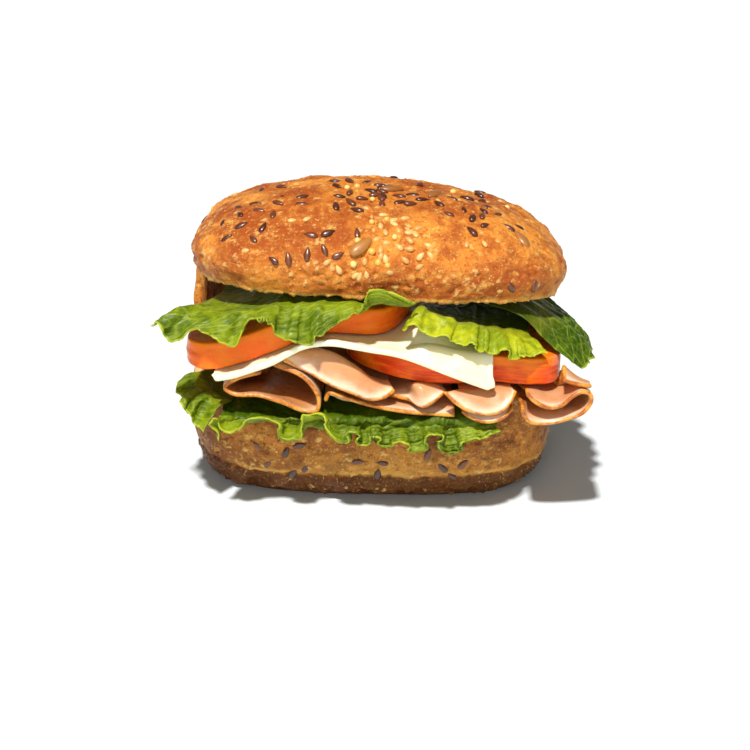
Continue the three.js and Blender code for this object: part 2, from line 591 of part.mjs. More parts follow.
// A leaf goes smoothly through rows of points. Its ruffle has so many waves, turns back on
// itself by the share fold, and swells from row to row as the amplitudes say.
const LEAVES = {
  lettuce_lower_front: {
    rows: [
      [[-33, 47, 39.8], [0, 48, 40.4], [38, 47, 41.4]],
      [[-35, 41, 40.4], [0, 42, 41.4], [40, 41, 42.6]],
      [[-50, 0, 37.1], [0, 0, 38.6], [44, 0, 39.9]],
      [[-50, -42, 34.2], [-25, -43.6, 35], [0, -43.6, 35.4], [22, -43.6, 36], [40, -43.2, 36.6]],
      [
        [-51.4, -47.4, 33], [-36, -48, 33.6], [-18, -48, 32.1], [0, -48, 32.4],
        [20, -48, 32], [39, -47.4, 33],
      ],
      [
        [-53.6, -52, 31.6], [-47, -53.4, 34], [-40, -53.6, 35.4], [-32, -53.4, 34.4], [-24, -53.4, 33],
        [-16, -53.8, 33.2], [-8, -54, 31.6], [1.5, -54.2, 29.4], [11, -54, 28.6], [21, -53.6, 28.6],
        [29, -53.2, 29.6], [36, -52.4, 31.8], [40, -51, 32.8],
      ],
    ],
    places: [0, 0.1, 0.42, 0.76, 0.88, 1],
    amplitudes: [2.4, 0.25, 0.1, 0.15, 1.4, 4.6],
    waves: 8.3,
    fold: 0.34,
    columns: 52,
    cuts: [0, 0.1, 0.76, 0.86, 0.94, 1],
  },
  lettuce_lower_left: {
    rows: [
      [[-53, -16, 37.4], [-52, -21, 37], [-50, -27, 36.6], [-47, -34, 36]],
      [[-58, -18, 37.4], [-56.4, -24, 36.8], [-53, -32, 36.4], [-47, -38.4, 36]],
      [[-63, -20, 37.6], [-62, -27, 37], [-58.6, -36, 36.4], [-52, -44, 35.8]],
      [[-65.4, -24, 35.4], [-65, -31, 34.4], [-62, -41, 33], [-56, -48.6, 29]],
    ],
    places: [0, 0.36, 0.72, 1],
    amplitudes: [0.1, 0.2, 1.5, 3],
    waves: 3.6,
    fold: 0.35,
    columns: 20,
    cuts: [0, 0.36, 0.72, 0.86, 1],
  },
  lettuce_upper_left: {
    rows: [
      [[-50, 18, 61.2], [-30, 22, 62.6], [-8, 24, 63]],
      [[-52, -8, 62.4], [-28, -6, 66.4], [0, -4, 66.8]],
      [
        [-58, -29, 66.2], [-47, -36, 67.4], [-30, -38, 70.8], [-12, -38, 72.2], [2, -37, 71.8],
        [9, -36, 71.6],
      ],
      [
        [-65, -39, 68.4], [-52, -45, 68.4], [-34, -46.4, 71.2], [-16, -46.6, 73],
        [-2, -47.2, 74.2], [10, -47, 74.8],
      ],
      [
        [-72.4, -45, 66.8], [-66, -48.4, 61.8], [-59, -49.6, 65.6], [-48, -51.6, 62],
        [-44, -51, 67.4], [-36, -51, 68.6], [-30, -51.8, 64.8], [-21, -52.2, 62],
        [-16.6, -51.2, 68], [-9, -50.2, 71], [-5, -49.8, 77], [4, -49.4, 79], [12.6, -48.6, 76],
      ],
    ],
    places: [0, 0.32, 0.62, 0.82, 1],
    amplitudes: [0.6, 0.3, 0.3, 1.1, 2.7],
    waves: 7.4,
    fold: 0.35,
    columns: 37,
    cuts: [0, 0.32, 0.62, 0.74, 0.86, 1],
  },
  lettuce_upper_frill: {
    rows: [
      [[14, -10, 61.6], [32, -10, 61.2], [50, -12, 59.6]],
      [[13, -34, 69.2], [22, -36, 66.4], [36, -36, 62.8], [49, -33, 60]],
      [[11.4, -43.4, 71.8], [20, -44.6, 69.2], [34, -44.4, 65.2], [46, -42.6, 61.6], [52, -40, 60]],
      [
        [8.6, -50, 69.6], [15, -50.6, 66.4], [24, -51, 64.8],
        [36, -50.6, 61], [47, -49, 58.8], [54, -46.4, 60],
      ],
    ],
    places: [0, 0.45, 0.72, 1],
    amplitudes: [0.2, 0.4, 0.9, 1.8],
    waves: 6.6,
    fold: 0.3,
    columns: 40,
    cuts: [0, 0.45, 0.72, 0.86, 1],
  },
  lettuce_upper_right: {
    rows: [
      [[16, 20, 61.6], [26, 6, 65.4], [30, -8, 67.4], [32, -22, 68.6], [34, -31, 69]],
      [[44, 22, 60.6], [46, 6, 62.4], [47, -8, 64], [48, -22, 65.6], [46, -35, 66.4]],
      [[52, 16, 56], [54.6, 4, 57.2], [57.4, -8, 58.2], [59, -22, 60], [53.6, -39, 60]],
      [[60.6, 9, 51.4], [64, -2, 52.6], [66, -12, 53.8], [66.4, -26, 55.6], [60, -42, 55.4]],
      [[66, 3, 46], [69, -6, 46.6], [70.4, -18, 47.4], [69.6, -30, 49.4], [65.4, -41.4, 50.4]],
    ],
    places: [0, 0.34, 0.6, 0.8, 1],
    amplitudes: [0.2, 0.4, 0.7, 1.1, 1.8],
    waves: 4.5,
    fold: 0.25,
    columns: 28,
    cuts: [0, 0.34, 0.6, 0.8, 0.9, 1],
  },
};

function leafSurface(leaf) {
  const rows = leaf.rows.map(curveThrough);
  const base = (u, v) => {
    let k = 0;
    while (k < leaf.places.length - 2 && v > leaf.places[k + 1]) k += 1;
    const t = (v - leaf.places[k]) / (leaf.places[k + 1] - leaf.places[k]);
    const row = (i) => rows[Math.min(rows.length - 1, Math.max(0, i))].getPointAt(u);
    const [a, b, c, d] = [row(k - 1), row(k), row(k + 1), row(k + 2)];
    const slopeB = c.clone().sub(a).multiplyScalar(0.5);
    const slopeC = d.sub(b).multiplyScalar(0.5);
    const t2 = t * t;
    const t3 = t2 * t;
    const p = b.multiplyScalar(2 * t3 - 3 * t2 + 1);
    p.addScaledVector(slopeB, t3 - 2 * t2 + t);
    p.addScaledVector(c, 3 * t2 - 2 * t3);
    return p.addScaledVector(slopeC, t3 - t2);
  };
  const swellRows = leaf.places.map((place, k) => [place, leaf.amplitudes[k]]);
  const step = 2e-3;
  return (u, v) => {
    const p = base(u, v);
    const along = base(Math.min(1, u + step), v).sub(base(Math.max(0, u - step), v));
    const out = base(u, Math.min(1, v + step)).sub(base(u, Math.max(0, v - step)));
    const normal = along.clone().cross(out).normalize();
    along.normalize();
    const turn = 2 * Math.PI * leaf.waves * (u + 0.05 * Math.sin(9 * u + 1) + 0.018 * Math.sin(23 * u));
    const swell = tableAt(swellRows, v)[0] * (0.75 + 0.25 * Math.sin(15 * u + 2));
    const ruffle = RUFFLE * Math.sin(turn) + SLOW_RUFFLE * Math.sin(SLOW_RUFFLE_PACE * turn + 1.3);
    p.addScaledVector(normal, swell * ruffle);
    return p.addScaledVector(along, -swell * leaf.fold * Math.sin(2 * turn));
  };
}

function leafSolid(leaf) {
  return sheet(leaf.columns, leaf.cuts.length - 1, leafSurface(leaf), LEAF_THICKNESS, leaf.cuts);
}

// ---- Assembly -------------------------------------------------------------------------------
const group = new THREE.Group();

function add(name, geometry, material) {
  const mesh = new THREE.Mesh(geometry, material);
  mesh.name = name;
  group.add(mesh);
}

const heelSeeds = seedsOn(HEEL_SEEDS, 11, faceted(heelPoint, HEEL_STOPS), HEEL_SEED_SUNK);
const crownSeeds = seedsOn(CROWN_SEEDS, 5, faceted(crownPoint, CROWN_CLIMBS), CROWN_SEED_SUNK);

add('roll_bottom', seeded(bottomRoll(), heelSeeds), HEEL_CRUST);
add('roll_top', seeded(topRoll(), crownSeeds), CRUST);
add('tomato_right', tomato(22, -9, 36.5, 35, rightTomatoBase, 0.6, 315, 0.36), TOMATO);
add('tomato_left', tomato(-25.5, -15, 36, 31, leftTomatoBase, 2.1, 223, 0.24), TOMATO);
add('swiss_cheese', cheese(), CHEESE);
for (const [name, rows] of Object.entries(SLICES)) add(name, slice(rows, SLICE_RUN[name]), TURKEY);
for (const [name, leaf] of Object.entries(LEAVES)) add(name, leafSolid(leaf), LETTUCE);

export default group;
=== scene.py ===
"""Looks of a turkey and swiss sandwich on a seeded wheat roll."""

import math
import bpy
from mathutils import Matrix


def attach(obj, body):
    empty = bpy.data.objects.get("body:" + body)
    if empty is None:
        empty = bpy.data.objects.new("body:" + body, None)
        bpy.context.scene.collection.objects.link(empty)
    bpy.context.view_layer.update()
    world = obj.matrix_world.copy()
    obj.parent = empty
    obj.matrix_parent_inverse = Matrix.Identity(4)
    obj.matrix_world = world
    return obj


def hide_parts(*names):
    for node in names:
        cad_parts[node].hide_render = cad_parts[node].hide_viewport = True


bl_info = {
    "name": "Seeded Roll Sandwich",
    "version": (1, 0, 0),
    "blender": (4, 5, 0),
    "location": "View3D > Sidebar > Sandwich",
    "description": "Builds a filled wheat roll with seeds, turkey, cheese, tomato and lettuce",
    "category": "Object",
}

import bpy
import numpy as np
from mathutils import Matrix, Vector

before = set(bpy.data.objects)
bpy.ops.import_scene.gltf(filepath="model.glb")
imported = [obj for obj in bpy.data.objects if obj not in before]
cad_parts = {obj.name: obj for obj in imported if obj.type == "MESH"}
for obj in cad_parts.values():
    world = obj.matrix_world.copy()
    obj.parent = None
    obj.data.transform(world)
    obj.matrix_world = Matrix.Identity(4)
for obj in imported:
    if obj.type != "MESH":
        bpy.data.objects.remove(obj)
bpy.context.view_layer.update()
MM = 0.001

# ---- Sizes that the solids have too, in millimetres ------------------------------------------
ROLL_SQUARENESS = 3.2
HEEL_WALL = [
    (0, 54.4, 33.2),
    (2.6, 57, 36.8),
    (7, 59, 39.8),
    (15, 60.2, 42.2),
    (25, 60.4, 43),
    (36, 60.2, 42.8),
    (64, 61.4, 41.5),
]
HEEL_SHIFT = -1.4
HEEL_CUT_HEIGHT, HEEL_CUT_RISE_BACK, HEEL_CUT_RISE_RIGHT = 37.4, 0.07, 0.03
HEEL_STOPS = [0, 1.4, 3.6, 7.2, 13.5, 20.5, 28, 34]
LIP_START, LIP_RAMP, LIP_MIDDLE, LIP_SPAN, LIP_FADE, LIP_GAP = 0.9, 0.06, 161, 27, 21, 1.2
CROWN_CUT_HEIGHT, CROWN_CUT_PITCH, CROWN_CUT_TILT = 68.3, 0.139, 0.03
CROWN_WIDEST, CROWN_TUCK, CROWN_ROUNDNESS, CROWN_LEAN = 0.22, 0.032, 1.96, 0.012
CROWN_CLIMBS = [0, 0.08, 0.16, 0.3, 0.42, 0.54, 0.66, 0.78, 0.9, 1]
SWELL_BROAD, SWELL_CLOSE = 0.75, 0.3
COARSE_COLUMNS = 40
FRONT = -44


# ---- Small helpers ---------------------------------------------------------------------------
def smooth(value):
    t = np.clip(value, 0, 1)
    return t * t * (3 - 2 * t)


def mix(a, b, t):
    return a + (b - a) * t


def stack(x, y, z):
    return np.stack(np.broadcast_arrays(x, y, z), axis=-1).astype(float)


def table_at(rows, key):
    """Straight-line lookup of each column of a table at the keys."""
    table = np.array(rows, float)
    return [np.interp(key, table[:, 0], table[:, k]) for k in range(1, table.shape[1])]


class Draws:
    """A repeatable stream of numbers in 0..1, the same as the solids' own."""

    def __init__(self, seed):
        self.state = seed

    def __call__(self):
        self.state = (self.state * 1664525 + 1013904223) % 4294967296
        return self.state / 4294967296


class Curve:
    """A centripetal curve through points, by share of its parameter or of its length."""

    def __init__(self, rows):
        self.points = np.array([row[:3] for row in rows], float)
        places = np.linspace(0, 1, 201)
        steps = np.linalg.norm(np.diff(self.at(places), axis=0), axis=1)
        self.lengths = np.concatenate([[0], np.cumsum(steps)])
        self.places = places

    def at(self, share):
        p = self.points
        last = len(p) - 1
        place = np.clip(np.asarray(share, float), 0, 1) * last
        index = np.minimum(np.floor(place).astype(int), last - 1)
        weight = (place - index)[..., None]
        before = np.vstack([2 * p[0] - p[1], p, 2 * p[-1] - p[-2]])
        p0, p1, p2, p3 = (before[index + k] for k in range(4))

        def span(a, b):
            return np.maximum(((a - b) ** 2).sum(-1, keepdims=True) ** 0.25, 1e-4)

        d0, d1, d2 = span(p0, p1), span(p1, p2), span(p2, p3)
        t1 = ((p1 - p0) / d0 - (p2 - p0) / (d0 + d1) + (p2 - p1) / d1) * d1
        t2 = ((p2 - p1) / d1 - (p3 - p1) / (d1 + d2) + (p3 - p2) / d2) * d1
        c2 = -3 * p1 + 3 * p2 - 2 * t1 - t2
        c3 = 2 * p1 - 2 * p2 + t1 + t2
        return p1 + weight * (t1 + weight * (c2 + weight * c3))

    def even(self, share):
        wanted = np.asarray(share, float) * self.lengths[-1]
        return self.at(np.interp(wanted, self.lengths, self.places))


def hashed(cell, seed):
    """A number in 0..1 for each whole-number cell."""
    c = cell.astype(np.uint64)
    h = c[..., 0] * 73856093 ^ c[..., 1] * 19349663 ^ c[..., 2] * 83492791
    h = (h ^ np.uint64(seed * 2654435761 + 97)) & np.uint64(0xFFFFFFFF)
    for shift, factor in ((16, 0x45D9F3B), (15, 0x45D9F3B), (16, 1)):
        h = ((h ^ (h >> np.uint64(shift))) * np.uint64(factor)) & np.uint64(0xFFFFFFFF)
    return h / 4294967295


# Shifts points so that the cells they fall in have whole numbers above 0.
CELL_SHIFT = 1000.5


def noise(points, scale, seed=0):
    """Smooth noise in -1..1 with features of one scale."""
    q = points / scale + CELL_SHIFT
    cell = np.floor(q)
    f = q - cell
    w = f * f * f * (f * (f * 6 - 15) + 10)
    total = 0
    for corner in np.ndindex(2, 2, 2):
        part = np.prod(np.where(corner, w, 1 - w), axis=-1)
        total = total + part * hashed(cell + np.array(corner), seed)
    return 2 * total - 1


def layered(points, scale, seed=0, layers=3, fade=0.55):
    """Noise with finer and weaker layers laid over it."""
    return sum(fade**k * noise(points, scale / 2.03**k, seed + k) for k in range(layers))


def wavy(points, layers, seed, step=1):
    """Noise of a few heights and sizes, laid over each other."""
    return sum(height * noise(points, size, seed + step * k)
               for k, (height, size) in enumerate(layers))


def cells(points, scale, seed=0, flat=False):
    """Distance to the nearest and to the second nearest scattered centre, and its number."""
    q = points / scale + CELL_SHIFT
    cell = np.floor(q)
    near = np.full(q.shape[:-1], 9.0)
    second = near.copy()
    number = near.copy()
    reach = (3, 3, 1) if flat else (3, 3, 3)
    for step in np.ndindex(reach):
        home = cell + np.array(step) - [r // 2 for r in reach]
        centre = home + np.stack([hashed(home, seed + k) for k in range(3)], axis=-1)
        if flat:
            centre[..., 2] = q[..., 2]
        d = np.linalg.norm(q - centre, axis=-1)
        closer = d < near
        second = np.where(closer, near, np.minimum(second, d))
        number = np.where(closer, hashed(home, seed + 7), number)
        near = np.where(closer, d, near)
    return near, second, number


# ---- Meshes ----------------------------------------------------------------------------------
def grid_faces(rows, columns, offset=0, closed=False, flipped=False):
    """Quads between the points of a grid that was numbered row by row."""
    across = columns if closed else columns - 1
    j, i = np.meshgrid(np.arange(rows - 1), np.arange(across), indexing="ij")
    a = j * columns + i
    b = j * columns + (i + 1) % columns
    quads = np.stack([a, b, b + columns, a + columns], axis=-1).reshape(-1, 4) + offset
    return quads[:, ::-1] if flipped else quads


def make_object(name, points, faces, attributes=None):
    """A smooth mesh object from points in millimetres, with numbers kept at each point."""
    mesh = bpy.data.meshes.new(name)
    mesh.from_pydata((points * MM).tolist(), [], [list(map(int, f)) for f in faces])
    for key, values in (attributes or {}).items():
        kept = mesh.attributes.new(key, "FLOAT", "POINT")
        kept.data.foreach_set("value", np.asarray(values, np.float32).ravel())
    mesh.polygons.foreach_set("use_smooth", [True] * len(mesh.polygons))
    mesh.update()
    piece = bpy.data.objects.new(name, mesh)
    bpy.context.scene.collection.objects.link(piece)
    return piece


def ring_mesh(name, rings, low, high, attributes):
    """A closed solid of stacked rings, with one middle point at either end."""
    count, columns, _ = rings.shape
    points = np.vstack([[low], rings.reshape(-1, 3), [high]])
    faces = list(grid_faces(count, columns, 1, closed=True))
    last = len(points) - 1
    for i in range(columns):
        following = (i + 1) % columns
        top = 1 + (count - 1) * columns
        faces.append((0, 1 + following, 1 + i))
        faces.append((top + i, top + following, last))
    kept = {
        key: np.concatenate([[v[0].mean()], v.ravel(), [v[-1].mean()]])
        for key, v in attributes.items()
    }
    return make_object(name, points, faces, kept)


def grid_normals(middle):
    """Unit normals of a grid of points."""
    along = np.gradient(middle, axis=1)
    across = np.gradient(middle, axis=0)
    normal = np.cross(along, across)
    return normal / np.maximum(np.linalg.norm(normal, axis=-1, keepdims=True), 1e-9)


def sheet_mesh(name, middle, thickness, attributes):
    """A thin closed solid round a grid of middle points, with narrow walls at its edges."""
    rows, columns, _ = middle.shape
    normal = grid_normals(middle)
    half = np.broadcast_to(thickness, middle.shape[:2])[..., None] / 2
    upper = middle + normal * half
    lower = middle - normal * half
    layer = rows * columns
    faces = list(grid_faces(rows, columns))
    faces += list(grid_faces(rows, columns, layer, flipped=True))
    border = list(range(columns))
    border += [j * columns + columns - 1 for j in range(1, rows)]
    border += [(rows - 1) * columns + k for k in range(columns - 2, -1, -1)]
    border += [j * columns for j in range(rows - 2, 0, -1)]
    for a, b in zip(border, border[1:] + border[:1]):
        faces.append((b, a, layer + a, layer + b))
    points = np.vstack([upper.reshape(-1, 3), lower.reshape(-1, 3)])
    kept = {key: np.concatenate([v.ravel(), v.ravel()]) for key, v in attributes.items()}
    return make_object(name, points, faces, kept)


# ---- The roll --------------------------------------------------------------------------------
def outline(half_length, half_depth, degrees):
    """Distance from the middle to a rounded oblong, in each direction."""
    c = np.abs(np.cos(np.radians(degrees))) / half_length
    s = np.abs(np.sin(np.radians(degrees))) / half_depth
    return (c**ROLL_SQUARENESS + s**ROLL_SQUARENESS) ** (-1 / ROLL_SQUARENESS)


def unevenness(x, y, z):
    """Gentle swells of the roll's skin."""
    broad = np.sin(0.093 * x + 1.7) * np.sin(0.11 * y + 0.4) * np.sin(0.13 * z + 2.1)
    close = np.sin(0.31 * x + 0.9 * np.sin(0.2 * z)) * np.sin(0.29 * y + 0.27 * z + 1.3)
    return SWELL_BROAD * broad + SWELL_CLOSE * close


def heel_cut(x, y):
    """Height of the cut through the roll, on its lower half."""
    return HEEL_CUT_HEIGHT + HEEL_CUT_RISE_BACK * y + HEEL_CUT_RISE_RIGHT * x


def crown_cut(x, y):
    """Height of the cut under the crown."""
    return CROWN_CUT_HEIGHT - CROWN_CUT_PITCH * y - CROWN_CUT_TILT * x


def heel_top(degrees, share, x, y):
    """Top of the lower half: its cut, and the wall that stands up at the back left."""
    turn = np.abs(degrees - LIP_MIDDLE)
    turn = np.minimum(turn, 360 - turn)
    around = smooth((LIP_SPAN - turn) / LIP_FADE)
    out = smooth((share - LIP_START) / LIP_RAMP)
    return heel_cut(x, y) + around * out * (crown_cut(x, y) - LIP_GAP - heel_cut(x, y))


def heel_point(degrees, height):
    """A point of the lower half's wall."""
    half_length, half_depth = table_at(HEEL_WALL, height)
    r = outline(half_length, half_depth, degrees)
    x = r * np.cos(np.radians(degrees))
    y = r * np.sin(np.radians(degrees))
    swell = np.where(height > 0.5, unevenness(x, y, height), 0)
    k = (r + swell) / r
    return stack(x * k + HEEL_SHIFT, y * k, height)


def heel_edge(degrees):
    """Height at which the lower half's wall meets its cut."""
    height = np.full(np.shape(degrees), float(HEEL_CUT_HEIGHT))
    for _ in range(4):
        p = heel_point(degrees, height)
        height = heel_top(degrees, 1, p[..., 0], p[..., 1])
    return height


def crown_point(degrees, climb):
    """A point of the crown's skin, from its cut edge at 0 to its middle at 1."""
    sizes = bpy.context.scene.sandwich_sizes
    degrees, climb = np.broadcast_arrays(degrees, climb)
    low = climb < CROWN_WIDEST
    t = climb / CROWN_WIDEST
    a = np.clip((climb - CROWN_WIDEST) / (1 - CROWN_WIDEST), 0, 1) * math.pi / 2
    power = 2 / CROWN_ROUNDNESS
    tuck = 1 - CROWN_TUCK * (1 - np.sin(math.pi / 2 * np.minimum(t, 1)))
    share = np.where(low, tuck, np.maximum(np.cos(a), 0) ** power)
    lift = np.where(low, CROWN_WIDEST * t, CROWN_WIDEST + (1 - CROWN_WIDEST) * np.sin(a) ** power)
    r = outline(sizes.roll_half_length / MM, sizes.roll_half_depth / MM, degrees) * share
    x = r * np.cos(np.radians(degrees))
    y = r * np.sin(np.radians(degrees))
    up = sizes.crown_rise / MM * lift
    swell = unevenness(x, y, up + 60)
    k = 1 + swell * share / np.maximum(r, 10)
    lean = -CROWN_LEAN * x * lift
    return stack(x * k, y * k, crown_cut(x, y) + up + lean + swell * lift)


def coarse(surface, stops):
    """The flat-sided surface of the solid, on which the seeds were laid."""

    def at(degrees, along):
        j = 0
        while j < len(stops) - 2 and along > stops[j + 1]:
            j += 1
        v = (along - stops[j]) / (stops[j + 1] - stops[j])
        column = math.floor(degrees / 360 * COARSE_COLUMNS)
        u = degrees / 360 * COARSE_COLUMNS - column
        corner = [
            [surface(np.array(360 * i / COARSE_COLUMNS), np.array(float(stops[k])))
             for i in (column, column + 1)]
            for k in (j, j + 1)
        ]
        low, high = (mix(pair[0], pair[1], u) for pair in corner)
        return mix(low, high, v)

    return at


# Size and, where they are scattered, rarity of what makes up the crust's skin, then its height.
FLAKE_SIZE, FLAKE_RARITY, FLAKE_HEIGHT = 2.9, 0.8, 0.25
GRAIN_SIZE, GRAIN_RARITY, GRAIN_HEIGHT = 1.15, 0.55, 0.3
PIT_SIZE, PIT_RARITY, PIT_DEPTH = 1.9, 0.45, 0.5
WRINKLE_SIZE, WRINKLE_HEIGHT = 7, 0.4
CRUMB_SIZE, CRUMB_HEIGHT = 2.2, 0.5
PORE_SIZE, PORE_RARITY, PORE_DEPTH = 3.1, 0.3, 0.6
# How far each reaches from its centre, how soft its edge is, and how ragged a flake is.
FLAKE_RADIUS, FLAKE_EDGE, FLAKE_RAGGED, FLAKE_RAGGED_SIZE = 0.3, 0.1, 0.3, 0.8
GRAIN_RADIUS, GRAIN_EDGE, PIT_EDGE, PORE_EDGE, WRINKLE_FLATTER = 0.42, 0.3, 0.25, 0.3, 2.2


def crust_relief(points, depth):
    """Height of a baked skin's pebbles, flakes and pits, with masks of the flakes and pebbles."""
    near, _, number = cells(points, FLAKE_SIZE, 11)
    ragged = near + FLAKE_RAGGED * noise(points, FLAKE_RAGGED_SIZE, 21)
    flake = smooth((FLAKE_RADIUS - ragged) / FLAKE_EDGE) * (number > FLAKE_RARITY)
    fine, _, rank = cells(points, GRAIN_SIZE, 31)
    grain = smooth((GRAIN_RADIUS - fine) / GRAIN_EDGE) * (rank > GRAIN_RARITY) * rank
    pits = smooth((noise(points, PIT_SIZE, 41) - PIT_RARITY) / PIT_EDGE)
    wrinkle = layered(points * [1, 1, WRINKLE_FLATTER], WRINKLE_SIZE, 51)
    height = (GRAIN_HEIGHT * grain + FLAKE_HEIGHT * flake - PIT_DEPTH * pits
              + WRINKLE_HEIGHT * wrinkle)
    return depth * height, flake, grain


def crumb_relief(points):
    """Height of the open crumb on a cut face, with its pores."""
    pores = smooth((noise(points, PORE_SIZE, 72) - PORE_RARITY) / PORE_EDGE)
    return CRUMB_HEIGHT * layered(points, CRUMB_SIZE, 71) - PORE_DEPTH * pores


def shifted(rings, amount):
    """Moves each point of closed rings out along the surface's normal."""
    wide = np.concatenate([rings[:, -1:], rings, rings[:, :1]], axis=1)
    normal = grid_normals(wide)[:, 1:-1]
    return rings + normal * amount[..., None]


CLIMB_END, CLIMB_STEPS, FRONT_DIRECTION = 0.9995, 1200, 270


def even_climbs(count):
    """Places from the cut edge to just short of the crown's middle, evenly far apart."""
    fine = np.linspace(0, CLIMB_END, CLIMB_STEPS)
    steps = np.linalg.norm(np.diff(crown_point(FRONT_DIRECTION, fine), axis=0), axis=1)
    run = np.concatenate([[0], np.cumsum(steps)])
    return np.interp(np.linspace(0, run[-1], count), run, fine)


# ---- Materials -------------------------------------------------------------------------------
def colour(name):
    return tuple(getattr(bpy.context.scene.sandwich_colours, name)) + (1.0,)


class Nodes:
    """Short calls that fill a node tree."""

    def __init__(self, tree):
        self.tree = tree

    def add(self, kind, inputs=None, **settings):
        node = self.tree.nodes.new(kind)
        for key, value in settings.items():
            setattr(node, key, value)
        for key, value in (inputs or {}).items():
            if isinstance(value, bpy.types.NodeSocket):
                self.tree.links.new(value, node.inputs[key])
            else:
                node.inputs[key].default_value = value
        return node

    def noise(self, vector, scale, detail=3.0, rough=0.55):
        values = {"Vector": vector, "Scale": scale, "Detail": detail, "Roughness": rough}
        return self.add("ShaderNodeTexNoise", values).outputs["Fac"]

    def maths(self, operation, a, b=0.0):
        return self.add("ShaderNodeMath", {0: a, 1: b}, operation=operation).outputs[0]

    def times(self, a, b):
        return self.maths("MULTIPLY", a, b)

    def spread(self, value, low, high, to_low=0.0, to_high=1.0):
        """A value taken from one range to another, and kept inside it."""
        values = {"Value": value, 1: low, 2: high, 3: to_low, 4: to_high}
        node = self.add("ShaderNodeMapRange", values, interpolation_type="SMOOTHSTEP")
        return node.outputs["Result"]

    def blend(self, factor, a, b):
        """A colour between two, by a factor."""
        return self.add("ShaderNodeMix", {0: factor, 6: a, 7: b}, data_type="RGBA").outputs[2]

    def stretched(self, vector, scale):
        return self.add("ShaderNodeMapping", {"Vector": vector, "Scale": scale}).outputs[0]

    def attribute(self, name):
        return self.add("ShaderNodeAttribute", attribute_name=name).outputs["Fac"]

    def place(self):
        return self.add("ShaderNodeTexCoord").outputs["Object"]


def node_group(name, inputs, outputs, fill):
    """A shader node group with named inputs and outputs, built once."""
    if name in bpy.data.node_groups:
        return bpy.data.node_groups[name]
    tree = bpy.data.node_groups.new(name, "ShaderNodeTree")
    for key, kind, default in inputs:
        socket = tree.interface.new_socket(key, in_out="INPUT", socket_type=kind)
        if default is not None:
            socket.default_value = default
    for key, kind in outputs:
        tree.interface.new_socket(key, in_out="OUTPUT", socket_type=kind)
    nodes = Nodes(tree)
    given = nodes.add("NodeGroupInput").outputs
    result = nodes.add("NodeGroupOutput")
    for key, socket in fill(nodes, given).items():
        tree.links.new(socket, result.inputs[key])
    return tree


VECTOR, FLOAT, COLOUR = "NodeSocketVector", "NodeSocketFloat", "NodeSocketColor"


def mottle_group():
    """Two colours that run into each other in patches of two sizes."""

    def fill(nodes, given):
        broad = nodes.noise(given["Vector"], given["Scale"], 2)
        close = nodes.noise(given["Vector"], nodes.times(given["Scale"], 4.7), 3)
        both = nodes.maths("ADD", nodes.times(broad, 0.62), nodes.times(close, 0.38))
        mask = nodes.spread(both, 0.4, 0.6)
        return {"Color": nodes.blend(mask, given["First"], given["Second"]), "Mask": mask}

    inputs = [("Vector", VECTOR, None), ("Scale", FLOAT, 60.0),
              ("First", COLOUR, (0.5, 0.5, 0.5, 1)), ("Second", COLOUR, (0.8, 0.8, 0.8, 1))]
    return node_group("mottled colour", inputs, [("Color", COLOUR), ("Mask", FLOAT)], fill)


def grain_group():
    """Fine grain: a height for a bump, and a value that roughness can follow."""

    def fill(nodes, given):
        fine = nodes.noise(given["Vector"], given["Scale"], 4, 0.65)
        finer = nodes.noise(given["Vector"], nodes.times(given["Scale"], 3.1), 2)
        height = nodes.maths("ADD", nodes.times(fine, 0.7), nodes.times(finer, 0.3))
        rough = nodes.spread(fine, 0.3, 0.7, given["Low"], given["High"])
        return {"Height": height, "Roughness": rough}

    inputs = [("Vector", VECTOR, None), ("Scale", FLOAT, 900.0),
              ("Low", FLOAT, 0.4), ("High", FLOAT, 0.6)]
    return node_group("fine grain", inputs, [("Height", FLOAT), ("Roughness", FLOAT)], fill)


def new_material(name, flat_colour):
    material = bpy.data.materials.new(name)
    material.use_nodes = True
    material.diffuse_color = flat_colour
    shader = material.node_tree.nodes["Principled BSDF"]
    return material, Nodes(material.node_tree), shader


def use_group(nodes, group, inputs):
    node = nodes.add("ShaderNodeGroup", node_tree=group)
    for key, value in inputs.items():
        if isinstance(value, bpy.types.NodeSocket):
            nodes.tree.links.new(value, node.inputs[key])
        else:
            node.inputs[key].default_value = value
    return node.outputs


def mottled(nodes, place, scale, first, second):
    """A colour that runs in patches between two named ones."""
    return use_group(nodes, mottle_group(), {
        "Vector": place, "Scale": scale, "First": colour(first), "Second": colour(second)})["Color"]


def grained(nodes, place, scale, low, high):
    """A surface's fine grain: its height, and its roughness between two values."""
    return use_group(nodes, grain_group(), {
        "Vector": place, "Scale": scale, "Low": low, "High": high})


def finish_shader(nodes, shader, base, rough, height=None, bump=0.2, distance=0.0004, **fixed):
    """Joins colour, roughness and bump to the shader, and sets its fixed values."""
    nodes.tree.links.new(base, shader.inputs["Base Color"])
    if isinstance(rough, bpy.types.NodeSocket):
        nodes.tree.links.new(rough, shader.inputs["Roughness"])
    else:
        shader.inputs["Roughness"].default_value = rough
    if height is not None:
        values = {"Height": height, "Strength": bump, "Distance": distance}
        normal = nodes.add("ShaderNodeBump", values).outputs["Normal"]
        nodes.tree.links.new(normal, shader.inputs["Normal"])
    for key, value in fixed.items():
        shader.inputs[key.replace("_", " ")].default_value = value


def soften(shader, weight, radius, scale):
    """Light that goes a little way into moist food."""
    shader.inputs["Subsurface Weight"].default_value = weight
    shader.inputs["Subsurface Radius"].default_value = radius
    shader.inputs["Subsurface Scale"].default_value = scale


